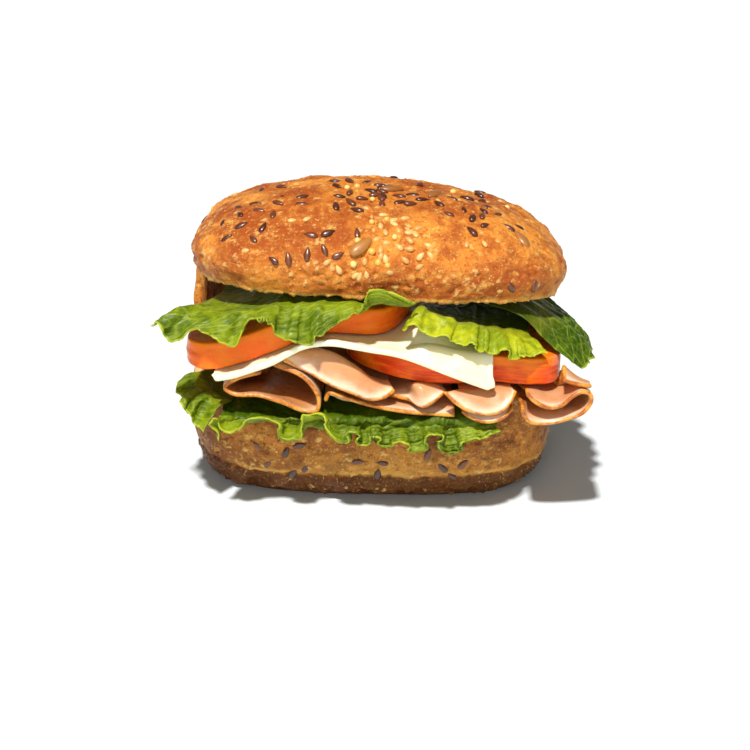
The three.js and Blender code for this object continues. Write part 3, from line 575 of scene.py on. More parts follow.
def crust_material(name, dark, middle, light, foot, scale):
    """Baked crust: browned patches, paler grain and flakes, and crumb where it is cut."""
    material, nodes, shader = new_material(name, colour(middle))
    place = nodes.place()
    flake, cut, grain, shade = (nodes.attribute(k) for k in ("flake", "cut", "grain", "shade"))
    base = mottled(nodes, place, scale, dark, middle)
    streak = nodes.noise(nodes.stretched(place, (1, 1, 1.6)), scale * 3.2, 4, 0.7)
    base = nodes.blend(nodes.times(nodes.spread(streak, 0.52, 0.7), 0.7), base, colour(light))
    base = nodes.blend(nodes.times(grain, 0.5), base, colour(light))
    # Towards the foot colour where the shade value says: the band below the crease, darker cracks,
    # darker patches on the crown, and painted shade at the top of the lower half's wall.
    base = nodes.blend(nodes.times(shade, 0.85), base, colour(foot))
    base = nodes.blend(nodes.times(nodes.attribute("pale"), 0.6), base, colour(light))
    dusky = nodes.spread(nodes.noise(place, 560, 5, 0.75), 0.53, 0.61)
    base = nodes.blend(nodes.times(dusky, 0.7), base, colour(dark))
    crowd = nodes.spread(nodes.noise(place, 110, 2, 0.5), 0.3, 0.65, 0.25, 1.0)
    speck = nodes.spread(nodes.noise(place, 1100, 4, 0.7), 0.58, 0.66)
    base = nodes.blend(nodes.times(nodes.times(speck, crowd), 0.75), base, colour("bran"))
    base = nodes.blend(nodes.times(flake, 0.6), base, colour("bran"))
    base = nodes.blend(cut, base, mottled(nodes, place, 240.0, "crumb", "crumb_light"))
    fine = grained(nodes, place, 1100.0, 0.38, 0.62)
    finish_shader(nodes, shader, base, fine["Roughness"], fine["Height"], 1.0, 0.0009,
                  Specular_IOR_Level=0.22)
    soften(shader, 0.06, (1.0, 0.45, 0.2), 0.0012)
    return material


# ---- Pieces ----------------------------------------------------------------------------------
def settle(piece, material, slot_name, *nodes):
    """Gives a finished piece its material, and hands it to the frame."""
    piece.data.materials.clear()
    piece.data.materials.append(material)
    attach(piece, "root")
    if nodes:
        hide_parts(*nodes)
    return piece


ROLL_COLUMNS, HEEL_ROWS, CROWN_ROWS = 620, 76, 136
# Shares of the distance from the middle at which rings close the flat faces.
HEEL_FLOOR_RINGS = [0.3, 0.6, 0.8, 0.92, 0.97]
HEEL_CUT_RINGS = [0.985, 0.97, 0.955, 0.94, 0.925, 0.91, 0.895, 0.88, 0.84, 0.78, 0.66, 0.5,
                  0.34, 0.16]
CROWN_CUT_RINGS = [0.2, 0.45, 0.65, 0.8, 0.88, 0.93, 0.96, 0.98, 0.992]
# The crease round the foot, the pale line above it, and the golden middle of the front.
CREASE_HEIGHT, CREASE_WIDTH, CREASE_DEPTH, CREASE_BLEND = 10.3, 0.5, 0.6, 0.7
CREASE_WOBBLE = [(0.5, 9), (0.35, 3.5)]
PALE_LINE_HEIGHT, PALE_LINE_WIDTH = 11.5, 0.8
PALE_LINE_BREAKS, PALE_LINE_RARITY, PALE_LINE_FADE = 11, -0.5, 0.6
GOLDEN_AT, GOLDEN_WIDTH, GOLDEN_TOP, GOLDEN_FADE, GOLDEN_SHARE = 4, 30, 24, 9, 0.5
FOOT_ROUGHER, CRACK_DEPTH, CRACK_SHADE = 0.5, 0.6, 0.6
# Cracks in the foot: their size, how tall they are drawn, how rare they are, and their edge.
CRACK_SIZE, CRACK_DRAWN, CRACK_RARITY, CRACK_EDGE = 2.6, 0.4, 0.3, 0.3
# Painted shade at the top of the lower half's wall, under the fillings: its strength, where it
# starts and over what height it fades in.
RIM_SHADE, RIM_SHADE_START, RIM_SHADE_FADE = 0.3, 24, 12
LIP_BLEND, LIP_REACH, LIP_HIGH = 12, 8, 1.2
# Height over which the foot's relief fades in, and how many browned patches go to a metre.
FOOT_CALM, FOOT_PATCHES, CROWN_PATCHES = 1.0, 55.0, 48.0
# The torn edge of the crown, as a share of its climb, and how ragged it is.
TORN_EDGE, PALE_EDGE, PALE_EDGE_FADE, PALE_EDGE_SHARE = 0.035, 0.05, 0.03, 0.8
TORN_HEIGHT, TORN_SIZE, TORN_PROUD = 0.55, 1.6, 0.3
# The darker parts of the crown.
CROWN_SHADE, CROWN_SHADE_SIZE, CROWN_SHADE_RARITY, CROWN_SHADE_FADE = 0.5, 30, -0.1, 0.8


def heel_marks(rings):
    """The crease round the foot, the band below it, its cracks and the pale parts above it."""
    x, z = rings[..., 0], rings[..., 2]
    wobble = wavy(rings, CREASE_WOBBLE, 61)
    crease = np.exp(-(((z - CREASE_HEIGHT - wobble) / CREASE_WIDTH) ** 2))
    below = smooth((CREASE_HEIGHT + wobble - z) / CREASE_BLEND)
    line = np.exp(-(((z - PALE_LINE_HEIGHT - wobble) / PALE_LINE_WIDTH) ** 2))
    breaks = noise(rings, PALE_LINE_BREAKS, 64)
    line = line * smooth((breaks - PALE_LINE_RARITY) / PALE_LINE_FADE)
    golden = np.exp(-(((x - GOLDEN_AT) / GOLDEN_WIDTH) ** 2))
    golden = golden * smooth((GOLDEN_TOP - z) / GOLDEN_FADE) * (1 - below)
    upright = noise(rings * [1, 1, CRACK_DRAWN], CRACK_SIZE, 63)
    cracks = below * smooth((upright - CRACK_RARITY) / CRACK_EDGE)
    return crease, below, cracks, np.clip(line + GOLDEN_SHARE * golden, 0, 1)


def make_bottom():
    sizes = bpy.context.scene.sandwich_sizes
    degrees = np.arange(ROLL_COLUMNS) * 360 / ROLL_COLUMNS
    edge = heel_edge(degrees)
    wall = np.stack([heel_point(degrees, edge * s) for s in np.linspace(0, 1, HEEL_ROWS)])
    floor = np.stack([wall[0] * [s, s, 1] for s in HEEL_FLOOR_RINGS])
    rim = wall[-1]
    cut_rings = []
    for s in HEEL_CUT_RINGS:
        x, y = rim[:, 0] * s, rim[:, 1] * s
        cut_rings.append(stack(x, y, heel_top(degrees, s, x, y)))
    rings = np.concatenate([floor, wall, np.stack(cut_rings)])
    height, flake, grain = crust_relief(rings, sizes.crust_relief / MM)
    crease, below, cracks, pale = heel_marks(rings)
    height = height * (1 + FOOT_ROUGHER * below) - CREASE_DEPTH * crease - CRACK_DEPTH * cracks
    z = rings[..., 2]
    is_cut = np.zeros(z.shape)
    is_cut[len(floor) + HEEL_ROWS - 1:] = 1
    height = mix(height, crumb_relief(rings), is_cut)
    height *= smooth(z / FOOT_CALM)
    # The wall at the back left shows crust where it rises from the cut, not crumb.
    turn = np.abs(degrees - LIP_MIDDLE)
    above_cut = np.abs(z - heel_cut(rings[..., 0], rings[..., 1])) > LIP_HIGH
    lip = smooth((LIP_SPAN + LIP_REACH - turn) / LIP_BLEND) * above_cut
    rings = shifted(rings, height)
    # Painted shade: darker towards the top of the wall, under the fillings that hang over it.
    rim_shade = RIM_SHADE * smooth((z - RIM_SHADE_START) / RIM_SHADE_FADE) * (1 - is_cut)
    values = {"flake": flake * (1 - is_cut), "grain": grain, "cut": is_cut * (1 - lip),
              "shade": np.clip(below + CRACK_SHADE * cracks + rim_shade, 0, 1), "pale": pale}
    piece = ring_mesh("roll_bottom_crust", rings, (HEEL_SHIFT, 0, 0), rings[-1].mean(0), values)
    material = crust_material("lower crust", "crust_low_dark", "crust_low", "crust_low_light",
                              "crust_foot", FOOT_PATCHES)
    settle(piece, material, "crust_bottom", "roll_bottom")


def make_top():
    sizes = bpy.context.scene.sandwich_sizes
    degrees = np.arange(ROLL_COLUMNS) * 360 / ROLL_COLUMNS
    climbs = even_climbs(CROWN_ROWS)[:-1]
    skin = np.stack([crown_point(degrees, np.full(ROLL_COLUMNS, c)) for c in climbs])
    edge = skin[0]
    under = []
    for s in CROWN_CUT_RINGS:
        x, y = edge[:, 0] * s, edge[:, 1] * s
        under.append(stack(x, y, crown_cut(x, y)))
    rings = np.concatenate([np.stack(under), skin])
    height, flake, grain = crust_relief(rings, sizes.crust_relief / MM)
    is_cut = np.zeros(rings.shape[:2])
    is_cut[: len(under)] = 1
    climb = np.concatenate([np.zeros(len(under)), climbs])[:, None]
    torn = smooth((TORN_EDGE - climb) / TORN_EDGE)
    ragged = TORN_HEIGHT * layered(rings, TORN_SIZE, 81) + TORN_PROUD
    height = mix(height + torn * ragged, crumb_relief(rings), is_cut)
    rings = shifted(rings, height)
    pale = smooth((PALE_EDGE - climb) / PALE_EDGE_FADE) * (1 - is_cut) * PALE_EDGE_SHARE
    patches = layered(rings, CROWN_SHADE_SIZE, 91)
    shade = CROWN_SHADE * smooth((patches - CROWN_SHADE_RARITY) / CROWN_SHADE_FADE)
    values = {"flake": flake * (1 - is_cut), "grain": grain, "cut": is_cut, "shade": shade,
              "pale": pale}
    piece = ring_mesh("roll_top_crust", rings, (0, 0, CROWN_CUT_HEIGHT), rings[-1].mean(0), values)
    material = crust_material("crown crust", "crust_dark", "crust", "crust_light", "crust_dark",
                              CROWN_PATCHES)
    settle(piece, material, "crust_top", "roll_top")


# ---- Seeds -----------------------------------------------------------------------------------
# Length, width and height of each kind, in millimetres.
SEED_KINDS = {
    "flax": (4.6, 2.5, 1.7),
    "sesame": (3, 2, 1.4),
    "millet": (2.1, 2.1, 1.9),
    "kernel": (8.6, 4.4, 3),
}
# Kind, count, direction, place up the surface, and how far both of these are spread.
CROWN_SEEDS = [
    ("kernel", 1, 262, 0.44, 1, 0.01),
    ("kernel", 1, 331, 0.5, 1, 0.01),
    ("kernel", 2, 318, 0.88, 22, 0.05),
    ("flax", 9, 211, 0.57, 11, 0.14),
    ("flax", 2, 233, 0.33, 4, 0.02),
    ("flax", 6, 250, 0.44, 12, 0.1),
    ("flax", 7, 240, 0.8, 13, 0.1),
    ("flax", 7, 280, 0.84, 20, 0.08),
    ("flax", 9, 328, 0.68, 11, 0.12),
    ("flax", 2, 322, 0.22, 8, 0.05),
    ("flax", 5, 90, 0.5, 84, 0.3),
    ("sesame", 14, 279, 0.5, 10, 0.14),
    ("sesame", 4, 260, 0.3, 9, 0.06),
    ("sesame", 3, 320, 0.52, 12, 0.04),
    ("sesame", 4, 90, 0.5, 84, 0.3),
    ("millet", 5, 264, 0.42, 7, 0.1),
]
# The rest of the seeds, which the solids leave out.
MORE_CROWN_SEEDS = [
    ("flax", 5, 211, 0.57, 16, 0.18),
    ("flax", 4, 190, 0.9, 14, 0.07),
    ("flax", 4, 350, 0.74, 9, 0.05),
    ("flax", 5, 328, 0.7, 15, 0.14),
    ("flax", 6, 290, 0.88, 44, 0.08),
    ("flax", 14, 90, 0.6, 86, 0.3),
    ("sesame", 9, 280, 0.5, 13, 0.18),
    ("sesame", 4, 262, 0.32, 14, 0.1),
    ("sesame", 10, 90, 0.5, 86, 0.34),
    ("sesame", 4, 240, 0.55, 24, 0.2),
    ("millet", 4, 268, 0.48, 12, 0.16),
    ("millet", 3, 240, 0.86, 30, 0.1),
    ("millet", 5, 90, 0.5, 86, 0.34),
]
HEEL_SEEDS = [
    ("flax", 6, 236, 17, 12, 7),
    ("flax", 3, 268, 14, 12, 4),
    ("flax", 5, 305, 17, 12, 7),
    ("flax", 5, 90, 20, 70, 9),
]
CROWN_SEED_SUNK = 0.4
HEEL_SEED_SUNK = 0.5
SEED_TRIES = 12
SEED_SMALLEST, SEED_VARIES, SEED_UNEVENNESS = 0.88, 0.24, 0.06
SEED_SIDES, SEED_RINGS = 12, 9
CROWN_DRAW, HEEL_DRAW, LAYING_DRAW = 5, 11, 7
# Small steps that give the slopes of a surface: in degrees, in climb, and in millimetres of height.
SLOPE_TURN, SLOPE_CLIMB, SLOPE_HEIGHT = 0.5, 0.004, 0.2


def seed_places(rows, seed, surface, sunk):
    """Where each seed lies: kind, middle, three directions and size, as the solids have them."""
    draw = Draws(seed)
    kept, places = [], []
    for kind, count, angle, place, angle_spread, place_spread in rows:
        length, _, height = SEED_KINDS[kind]
        for _ in range(count):
            for _ in range(SEED_TRIES):
                degrees = angle + angle_spread * (2 * draw() - 1)
                along = place + place_spread * (2 * draw() - 1)
                p = surface(degrees, along)
                if all(np.linalg.norm(q - p) > length for q in kept):
                    break
            kept.append(p)
            across = surface(degrees + SLOPE_TURN, along) - p
            up = surface(degrees, along + (SLOPE_CLIMB if along < 1 else SLOPE_HEIGHT)) - p
            normal = np.cross(across, up)
            normal /= np.linalg.norm(normal)
            spin = draw() * math.pi
            side = across / np.linalg.norm(across)
            forward = np.cross(normal, side)
            long = side * math.cos(spin) + forward * math.sin(spin)
            short = np.cross(normal, long)
            size = SEED_SMALLEST + SEED_VARIES * draw()
            centre = p + normal * height * (0.5 - sunk)
            places.append((kind, centre, long, short, normal, size))
    return places


def seed_shape(name, point, flat):
    """A seed of unit length, width and height: rounded, with one end drawn to a point."""
    turns = np.arange(SEED_SIDES) * 2 * math.pi / SEED_SIDES
    rings = []
    for j in range(1, SEED_RINGS):
        a = math.pi * j / SEED_RINGS
        x = -math.cos(a) / 2
        r = math.sin(a) / 2 * (1 - point * (x + 0.5) ** 2)
        y, z = r * np.cos(turns), r * np.sin(turns)
        rings.append(stack(x, y, np.sign(z) * np.abs(z) ** flat * 0.5 ** (1 - flat)))
    rings = np.stack(rings)[:, ::-1]
    tip = np.array([0.5, 0, 0])
    return ring_mesh(name, rings / MM, -tip / MM, tip / MM, {})


def scatter_tree():
    """A tree that lays one seed at each point, turned and sized by the point's own values."""
    tree = bpy.data.node_groups.new("lay seeds", "GeometryNodeTree")
    face = tree.interface
    face.new_socket("Geometry", in_out="INPUT", socket_type="NodeSocketGeometry")
    wanted = {}
    for key, kind, default in (
        ("Seed Shape", "NodeSocketObject", None), ("Length", FLOAT, 0.004),
        ("Width", FLOAT, 0.002), ("Height", FLOAT, 0.001), ("Unevenness", FLOAT, 0.08),
        ("Seed", "NodeSocketInt", 1), ("Finish", "NodeSocketMaterial", None),
    ):
        socket = face.new_socket(key, in_out="INPUT", socket_type=kind)
        if default is not None:
            socket.default_value = default
        wanted[key] = socket.identifier
    face.new_socket("Geometry", in_out="OUTPUT", socket_type="NodeSocketGeometry")
    nodes = Nodes(tree)
    given = nodes.add("NodeGroupInput").outputs

    def shown(sockets, name):
        """The one socket of a name that the node's kind of data shows."""
        return next(s for s in sockets if s.enabled and s.name == name)

    def named(key, kind):
        node = nodes.add("GeometryNodeInputNamedAttribute", {"Name": key}, data_type=kind)
        return shown(node.outputs, "Attribute")

    def drawn(kind):
        return nodes.add("FunctionNodeRandomValue", {"Seed": given["Seed"]}, data_type=kind)

    turn = nodes.add("FunctionNodeEulerToRotation", {0: named("turn", "FLOAT_VECTOR")}).outputs[0]
    size = nodes.add("ShaderNodeCombineXYZ", {
        "X": given["Length"], "Y": given["Width"], "Z": given["Height"]}).outputs[0]
    own = nodes.add("ShaderNodeVectorMath", {0: size}, operation="SCALE")
    tree.links.new(named("size", "FLOAT"), own.inputs["Scale"])
    uneven = drawn("FLOAT_VECTOR")
    for limit, operation in (("Min", "SUBTRACT"), ("Max", "ADD")):
        tree.links.new(nodes.maths(operation, 1.0, given["Unevenness"]), uneven.inputs[limit])
    final = nodes.add("ShaderNodeVectorMath", {
        0: own.outputs[0], 1: shown(uneven.outputs, "Value")}, operation="MULTIPLY")
    shape = nodes.add("GeometryNodeObjectInfo", {"Object": given["Seed Shape"]})
    laid = nodes.add("GeometryNodeInstanceOnPoints", {
        "Points": given["Geometry"], "Instance": shape.outputs["Geometry"],
        "Rotation": turn, "Scale": final.outputs[0]}).outputs[0]
    tint = drawn("FLOAT")
    stored = nodes.add("GeometryNodeStoreNamedAttribute", {
        "Geometry": laid, "Name": "tint"}, data_type="FLOAT", domain="INSTANCE")
    tree.links.new(shown(tint.outputs, "Value"), shown(stored.inputs, "Value"))
    real = nodes.add("GeometryNodeRealizeInstances", {"Geometry": stored.outputs[0]}).outputs[0]
    painted = nodes.add("GeometryNodeSetMaterial", {"Geometry": real, "Material": given["Finish"]})
    result = nodes.add("NodeGroupOutput")
    tree.links.new(painted.outputs[0], result.inputs["Geometry"])
    return tree, wanted


def lay_seeds(name, tree, sockets, shape, kind, places, material, slot_name):
    """Lays all seeds of one kind on one half of the roll, as one plain mesh."""
    piece = make_object(name, np.array([p[1] for p in places]), [])
    turns, sizes = [], []
    for _, _, long, short, normal, size in places:
        basis = Matrix((tuple(long), tuple(short), tuple(normal))).transposed()
        turns.append(tuple(basis.to_euler()))
        sizes.append(size)
    for key, data_type, field, values in (("turn", "FLOAT_VECTOR", "vector", turns),
                                          ("size", "FLOAT", "value", sizes)):
        kept = piece.data.attributes.new(key, data_type, "POINT")
        kept.data.foreach_set(field, np.array(values, np.float32).ravel())
    modifier = piece.modifiers.new("lay seeds", "NODES")
    modifier.node_group = tree
    length, width, height = (v * MM for v in SEED_KINDS[kind])
    for key, value in (("Seed Shape", shape), ("Length", length), ("Width", width),
                       ("Height", height), ("Unevenness", SEED_UNEVENNESS), ("Seed", LAYING_DRAW),
                       ("Finish", material)):
        modifier[sockets[key]] = value
    view = bpy.context.evaluated_depsgraph_get()
    view.update()
    real = bpy.data.meshes.new_from_object(piece.evaluated_get(view))
    piece.modifiers.clear()
    piece.data = real
    real.polygons.foreach_set("use_smooth", [True] * len(real.polygons))
    settle(piece, material, slot_name)


def seed_material(kind, first, second, rough, coat):
    material, nodes, shader = new_material(kind + " seed", colour(first))
    place = nodes.place()
    spots = nodes.noise(place, 1500, 3, 0.6)
    both = nodes.maths("ADD", nodes.times(nodes.attribute("tint"), 0.65), nodes.times(spots, 0.5))
    base = nodes.blend(nodes.spread(both, 0.2, 0.95), colour(first), colour(second))
    fine = grained(nodes, place, 1500.0, rough - 0.08, rough + 0.1)
    finish_shader(nodes, shader, base, fine["Roughness"], fine["Height"], 0.15, 0.0002,
                  Coat_Weight=coat, Coat_Roughness=0.2)
    return material


def make_seeds():
    tree, sockets = scatter_tree()
    # How pointed and how flat each kind is, its roughness and its gloss.
    looks = {
        "flax": (0.55, 0.8, 0.32, 0.35),
        "sesame": (0.5, 0.9, 0.45, 0.1),
        "millet": (0.1, 1.0, 0.35, 0.2),
        "kernel": (0.4, 0.9, 0.42, 0.15),
    }
    crown = seed_places(CROWN_SEEDS + MORE_CROWN_SEEDS, CROWN_DRAW,
                        coarse(crown_point, CROWN_CLIMBS), CROWN_SEED_SUNK)
    heel = seed_places(HEEL_SEEDS, HEEL_DRAW, coarse(heel_point, HEEL_STOPS), HEEL_SEED_SUNK)
    for kind, (point, flat, rough, coat) in looks.items():
        shape = seed_shape(kind + " shape", point, flat)
        material = seed_material(kind, kind, kind + "_light", rough, coat)
        for part, places in (("top", crown), ("bottom", heel)):
            own = [p for p in places if p[0] == kind]
            if own:
                lay_seeds(f"{kind}_seeds_{part}", tree, sockets, shape, kind, own, material,
                          "crust_" + part)
        bpy.data.objects.remove(shape)


# ---- Layer heights ---------------------------------------------------------------------------
TOMATO_RIGHT_BASE, TOMATO_RIGHT_RISE, TOMATO_TAPER = 46.4, 0.035, 0.06
CHEESE_GAP, TOMATO_LEFT_GAP = 0.4, 0.8
CHEESE_LOW, CHEESE_LOW_AT, CHEESE_FALL_LENGTH = 46.2, -58, 42
CHEESE_BEND, CHEESE_BEND_AT, CHEESE_BEND_WIDTH, CHEESE_BEND_LENGTH = 4, -17, 15, 26
CHEESE_ARCH, CHEESE_ARCH_AT, CHEESE_ARCH_WIDTH = 6, 17, 8
CHEESE_ARCH_START, CHEESE_ARCH_CLIMB, CHEESE_ARCH_END, CHEESE_ARCH_FALL = -50, 14, -28, 24


def tomato_thickness(y):
    """Thickness of a tomato slice, which thins towards the back."""
    return bpy.context.scene.sandwich_sizes.tomato_thickness / MM - TOMATO_TAPER * (y - FRONT)


def right_tomato_base(x, y):
    """Height of the right tomato slice's underside."""
    return TOMATO_RIGHT_BASE + TOMATO_RIGHT_RISE * (y - FRONT) + 0 * x


def cheese_arch(x, y):
    """Rise of the cheese between the two tomato slices."""
    across = np.exp(-(((x - CHEESE_ARCH_AT) / CHEESE_ARCH_WIDTH) ** 2))
    climb = smooth((y - CHEESE_ARCH_START) / CHEESE_ARCH_CLIMB)
    return CHEESE_ARCH * across * climb * (1 - smooth((y - CHEESE_ARCH_END) / CHEESE_ARCH_FALL))


def cheese_base(x, y):
    """Height of the cheese's underside."""
    level = right_tomato_base(x, y) + tomato_thickness(y) + CHEESE_GAP
    fall = smooth((x - CHEESE_LOW_AT) / CHEESE_FALL_LENGTH)
    across = np.exp(-(((x - CHEESE_BEND_AT) / CHEESE_BEND_WIDTH) ** 2))
    bend = CHEESE_BEND * across * smooth((FRONT + CHEESE_BEND_LENGTH - y) / CHEESE_BEND_LENGTH)
    return mix(CHEESE_LOW, level, fall) + bend + cheese_arch(x, y)


def left_tomato_base(x, y):
    """Height of the left tomato slice's underside, on the cheese."""
    cheese = bpy.context.scene.sandwich_sizes.cheese_thickness / MM
    return cheese_base(x, y) + cheese + TOMATO_LEFT_GAP


# ---- Tomatoes --------------------------------------------------------------------------------
# Share of the distance from the middle, and of the thickness, from under to over.
TOMATO_PROFILE = [
    (0, 0), (0.25, 0), (0.5, 0), (0.7, 0), (0.84, 0), (0.92, 0), (0.978, 0.004), (0.99, 0.02),
    (0.997, 0.05), (1, 0.11), (1.003, 0.3), (1.004, 0.5), (1.003, 0.7), (1, 0.89), (0.997, 0.95),
    (0.99, 0.98), (0.978, 0.996), (0.92, 1), (0.84, 1), (0.7, 1), (0.5, 1), (0.25, 1), (0, 1),
]
CORNER_SPREAD = 17
# Size and number of the slow and of the quick waves round a slice.
SLOW_WAVES, QUICK_WAVES = (0.02, 3), (0.012, 7)
SIDE_START, SIDE_FADE = 0.97, 0.03
# Height and size of the ridges in the side, how much flatter they are, and their share on a face.
RIDGES, FINE_RIDGES, FACE_RIDGES = (0.2, 9, 5), (0.12, 2.5, 2.5), 0.4
TOMATO_COLUMNS, TOMATO_RINGS = 300, 120
TOMATO_NOMINAL, TOMATO_RIM_FROM, TOMATO_RIM_CLOSER = 9, 0.95, 3
# Middle, half length and depth, start of the wobble, direction and size of a corner, and seed.
RIGHT_TOMATO = (22, -9), (36.5, 35), 0.6, 315, 0.36, 101
LEFT_TOMATO = (-25.5, -15), (36, 31), 2.1, 223, 0.24, 111


def tomato_mesh(name, base, centre, half, turn, corner_angle, corner, seed):
    degrees = np.arange(TOMATO_COLUMNS) * 360 / TOMATO_COLUMNS
    angle = np.radians(degrees)
    (slow, slow_count), (quick, quick_count) = SLOW_WAVES, QUICK_WAVES
    wobble = 1 + slow * np.sin(slow_count * angle + turn) + quick * np.sin(quick_count * angle)
    reach = wobble + corner * np.exp(-(((degrees - corner_angle) / CORNER_SPREAD) ** 2))
    out, up = np.array(TOMATO_PROFILE).T
    steps = np.hypot(np.diff(out) * half[0], np.diff(up) * TOMATO_NOMINAL)
    crowding = np.where(out[1:] > TOMATO_RIM_FROM, TOMATO_RIM_CLOSER, 1)
    run = np.concatenate([[0], np.cumsum(steps * crowding)])
    fine = np.interp(np.linspace(0, run[-1], TOMATO_RINGS), run, np.arange(len(run)))
    share, level = (np.interp(fine, np.arange(len(run)), k)[1:-1, None] for k in (out, up))
    x = centre[0] + half[0] * share * reach * np.cos(angle)
    y = centre[1] + half[1] * share * reach * np.sin(angle)
    rings = stack(x, y, base(x, y) + level * tomato_thickness(y))
    side = smooth((share - SIDE_START) / SIDE_FADE) + 0 * x
    ridges = sum(height * noise(rings * [1, 1, flatter], size, seed + k)
                 for k, (height, size, flatter) in enumerate((RIDGES, FINE_RIDGES)))
    rings = shifted(rings, ridges * mix(FACE_RIDGES, 1, side))
    around = np.broadcast_to(degrees / 360, x.shape)
    values = {"side": side, "level": level + 0 * x, "around": around}
    return ring_mesh(name, rings, rings[0].mean(0), rings[-1].mean(0), values)


def tomato_material(name, warm, deep, skin_at, skin_share):
    """Moist flesh with fine streaks, lighter towards its cut, and a pale strip of skin."""
    material, nodes, shader = new_material(name, colour(warm))
    place = nodes.place()
    streak = nodes.noise(nodes.stretched(place, (0.5, 0.5, 5)), 190, 4, 0.6)
    soft = nodes.noise(place, 75, 2)
    base = nodes.blend(nodes.spread(streak, 0.38, 0.66), colour(deep), colour(warm))
    base = nodes.blend(nodes.spread(soft, 0.45, 0.7, 0.0, 0.55), base, colour("tomato_pale"))
    # Painted top light and highlight: the upper half of the slice turns gold towards its top edge.
    lit = nodes.spread(nodes.attribute("level"), 0.5, 1.0, 0.0, 0.45)
    base = nodes.blend(lit, base, colour("tomato_gold"))
    away = nodes.maths("ABSOLUTE", nodes.maths("SUBTRACT", nodes.attribute("around"), skin_at))
    ragged = nodes.maths("ADD", away, nodes.times(nodes.noise(place, 160, 3), 0.03))
    peel = nodes.spread(ragged, 0.03, 0.05, skin_share, 0.0)
    base = nodes.blend(nodes.times(peel, nodes.attribute("side")), base, colour("skin"))
    fine = grained(nodes, place, 420.0, 0.2, 0.4)
    finish_shader(nodes, shader, base, fine["Roughness"], fine["Height"], 0.3, 0.0006,
                  Specular_IOR_Level=0.18, Coat_Weight=0.03, Coat_Roughness=0.1)
    soften(shader, 0.25, (1.0, 0.2, 0.02), 0.002)
    return material


def make_tomatoes():
    right = tomato_mesh("tomato_slice_right", right_tomato_base, *RIGHT_TOMATO)
    left = tomato_mesh("tomato_slice_left", left_tomato_base, *LEFT_TOMATO)
    right_look = tomato_material("right tomato", "tomato", "tomato_deep", 0.9, 0.3)
    left_look = tomato_material("left tomato", "tomato_orange", "tomato", 0.56, 0.7)
    settle(right, right_look, "tomato", "tomato_right")
    settle(left, left_look, "tomato", "tomato_left")


# ---- Cheese ----------------------------------------------------------------------------------
CHEESE_EDGE = [
    (-52.5, -47.5, 46.6), (-46.5, -49, 48.4), (-40.2, -49.5, 50.8), (-33.8, -50, 53.6),
    (-29, -50, 56.6), (-25, -50, 59), (-21, -50, 60.4), (-15, -50, 60.9),
    (-8.5, -50, 60.1), (-0.6, -50, 58.8), (7.3, -50, 57.2), (15.3, -50, 54.3),
    (23.4, -50.5, 51.3), (31.4, -51, 48.4), (37, -51, 46.4),
]
CHEESE_BACK, CHEESE_BACK_SLANT, CHEESE_SHIFT_LEFT, CHEESE_SHIFT_RIGHT = 41, 8, 7, 2
CHEESE_FOLD = 1.2
CORNER_RADIUS, CORNER_FADE = 1.8, 8
CHEESE_COLUMNS, CHEESE_FRONT_ROWS, CHEESE_ROWS, CHEESE_FRONT_SHARE = 240, 60, 90, 0.09
# How closely its columns and rows crowd towards their ends, and its rows towards the front.
COLUMNS_CROWD, ROWS_CROWD, FRONT_CROWD = 1.5, 1.4, 1.2
# Sway of its front edge and dimples in its face: height and size, and how far back the sway goes.
CHEESE_SWAY, CHEESE_DIMPLES, CHEESE_SWAY_END = (0.25, 14), (0.12, 9), 0.2
# How far from its edge a sheet starts to thin, and how thin it gets there.
CHEESE_ROUNDING, SLICE_ROUNDING, LEAF_ROUNDING, THINNEST = 0.45, 0.55, 0.5, 0.04


def edge_taper(distance, radius):
    """Share of a sheet's thickness near its edge, so that the edge is rounded."""
    t = np.clip(distance / radius, THINNEST, 1)
    return np.sqrt(1 - (1 - t) ** 2)


def edge_distance(middle, sides="abcd"):
    """Distance along the sheet from each point of a grid to the nearest chosen edge."""
    rows = np.linalg.norm(np.diff(middle, axis=0), axis=-1)
    columns = np.linalg.norm(np.diff(middle, axis=1), axis=-1)
    down = np.concatenate([np.zeros((1, middle.shape[1])), np.cumsum(rows, axis=0)])
    along = np.concatenate([np.zeros((middle.shape[0], 1)), np.cumsum(columns, axis=1)], axis=1)
    choices = {"a": down, "b": down[-1] - down, "c": along, "d": along[:, -1:] - along}
    return np.minimum.reduce([choices[k] for k in sides]), down, along


def crowded(count, power):
    """Places from 0 to 1 that crowd towards both ends."""
    t = np.linspace(-1, 1, count)
    return 0.5 + 0.5 * np.sign(t) * (1 - (1 - np.abs(t)) ** power)


